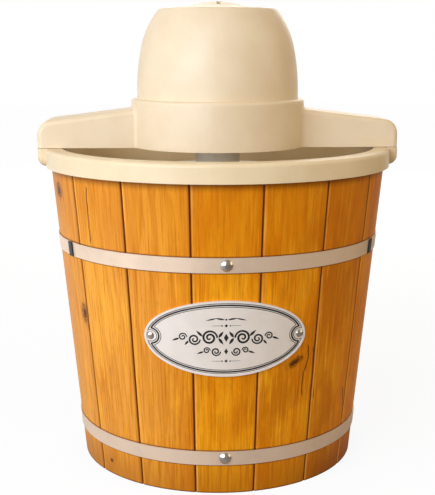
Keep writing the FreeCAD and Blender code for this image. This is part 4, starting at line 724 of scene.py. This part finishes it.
ornament = bmesh.new()
for inset, notch, width in BORDER_LINES:
    border_line(ornament, inset, notch, width)
for level in RULE_LEVELS:
    rule(ornament, level)
for way, start in ((-1, 0), (1, 180)):
    for (x, z), radius, turns, side, width in SCROLLS:
        scroll(ornament, (way * x, z), radius, turns, start, way * side, width)
    for root, tip, width in LEAVES:
        leaf(ornament, (way * root[0], root[1]), (way * tip[0], tip[1]), width)
for level, half, rise in DIAMONDS:
    diamond(ornament, level, half, rise)
disc(ornament, (0, DOT_LEVEL), DOT_RADIUS)
bmesh.ops.recalc_face_normals(ornament, faces=ornament.faces)
enamel_mesh = bpy.data.meshes.new("nameplate_enamel")
ornament.to_mesh(enamel_mesh)
ornament.free()
enamel = bpy.data.objects.new("nameplate_enamel", enamel_mesh)
bpy.context.scene.collection.objects.link(enamel)
dress(enamel, "enamel_black")
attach(enamel, "bucket")


# Stage: floor, world, lamps and camera

# The studio is dim to the right and behind the camera, as metal and varnish show.
# Each pair after it is where the white ends and where it is full, along that direction.
DIM_SIDE = (0.75, -0.6, 0.2)
FLOOR_FALL = (0.2, -0.4)
WORLD_FALL = (0.6, -0.2)

# The floor's own white grows outwards from the object, as less lamplight reaches it
FLOOR_SIZE = 12.0
FLOOR_COLOUR = (0.32, 0.31, 0.30)
FLOOR_ROUGHNESS = 0.9
FLOOR_GLOW = 0.6
FLOOR_TINT = (0.985, 1.0, 1.015)
FLOOR_LIT = (0.3, 1.6)
FLOOR_WHITE = (1.48, 1.57)
WORLD_FILL = (0.45, 0.36, 0.25)
WHITE = (1.0, 1.0, 1.0)


def background_ray(shading, place, fall):
    """1 for rays that see the background: straight, through glass, or mirrored on the bright side."""
    path = shading.add("LightPath").outputs
    direction = shading.add("TexCoord").outputs[place]
    side = shading.add("VectorMath", direction, DIM_SIDE, operation="DOT_PRODUCT").outputs["Value"]
    mirrored = shading.product(shading.scaled(side, *fall, 0.0, 1.0), path["Is Glossy Ray"])
    straight = shading.largest(mirrored, path["Is Camera Ray"])
    return shading.largest(straight, path["Is Transmission Ray"])


bpy.ops.mesh.primitive_plane_add(size=FLOOR_SIZE)
floor = bpy.context.object
floor.name = "floor"
paper = Finish("floor_paper", base_color=FLOOR_COLOUR, roughness=FLOOR_ROUGHNESS, specular_ior_level=0.0)
reach = paper.add("VectorMath", paper.place, operation="LENGTH").outputs["Value"]
glow = paper.add("Emission", FLOOR_TINT, paper.scaled(reach, *FLOOR_LIT, *FLOOR_WHITE))
paper.show_blend(paper.product(background_ray(paper, "Object", FLOOR_FALL), FLOOR_GLOW), paper.shader, glow)
floor.data.materials.append(paper.material)

world = bpy.data.worlds.new("studio")
bpy.context.scene.world = world
world.use_nodes = True
sky = Shading(world.node_tree, "OutputWorld")
fill = sky.add("Background", WORLD_FILL)
white = sky.add("Background", WHITE)
sky.show_blend(background_ray(sky, "Generated", WORLD_FALL), fill, white)

# A lamp has its name, place, size, power and colour
LAMPS = (
    ("key", (-0.70, -0.98, 0.66), 1.0, 14.5, (0.89, 0.96, 1.10)),
    ("side", (-1.15, -0.45, 0.38), 0.45, 1.6, (0.90, 1.0, 1.16)),
    ("fill", (1.65, -0.35, 0.7), 1.2, 6.5, (1.0, 0.82, 0.58)),
    ("back", (0.4, 1.7, 1.1), 1.2, 9.0, (1.0, 0.96, 0.90)),
)
LAMP_AIM = Vector((0.0, 0.0, 0.22))


def lamp(name, place, size, power, colour):
    """A soft square light, turned to the middle of the object."""
    light = bpy.data.lights.new(name, "AREA")
    light.size = size
    light.energy = power
    light.color = colour
    piece = bpy.data.objects.new(name, light)
    bpy.context.scene.collection.objects.link(piece)
    piece.location = place
    piece.rotation_euler = (LAMP_AIM - Vector(place)).to_track_quat("-Z", "Y").to_euler()


for row in LAMPS:
    lamp(*row)

CAMERA_DISTANCE = 0.8972
CAMERA_HEIGHT = 0.3565
CAMERA_TURN = math.radians(-2.885)
CAMERA_DIP = math.radians(11.03)
LENS = 73.45
SENSOR = 36.0

camera = bpy.data.cameras.new("camera")
camera.lens = LENS
camera.sensor_width = SENSOR
eye = bpy.data.objects.new("camera", camera)
bpy.context.scene.collection.objects.link(eye)
eye.location = (CAMERA_DISTANCE * math.sin(CAMERA_TURN), -CAMERA_DISTANCE * math.cos(CAMERA_TURN),
                CAMERA_HEIGHT)
eye.rotation_euler = (math.pi / 2 - CAMERA_DIP, 0, CAMERA_TURN)
bpy.context.scene.camera = eye
bpy.context.scene.view_settings.view_transform = "Standard"
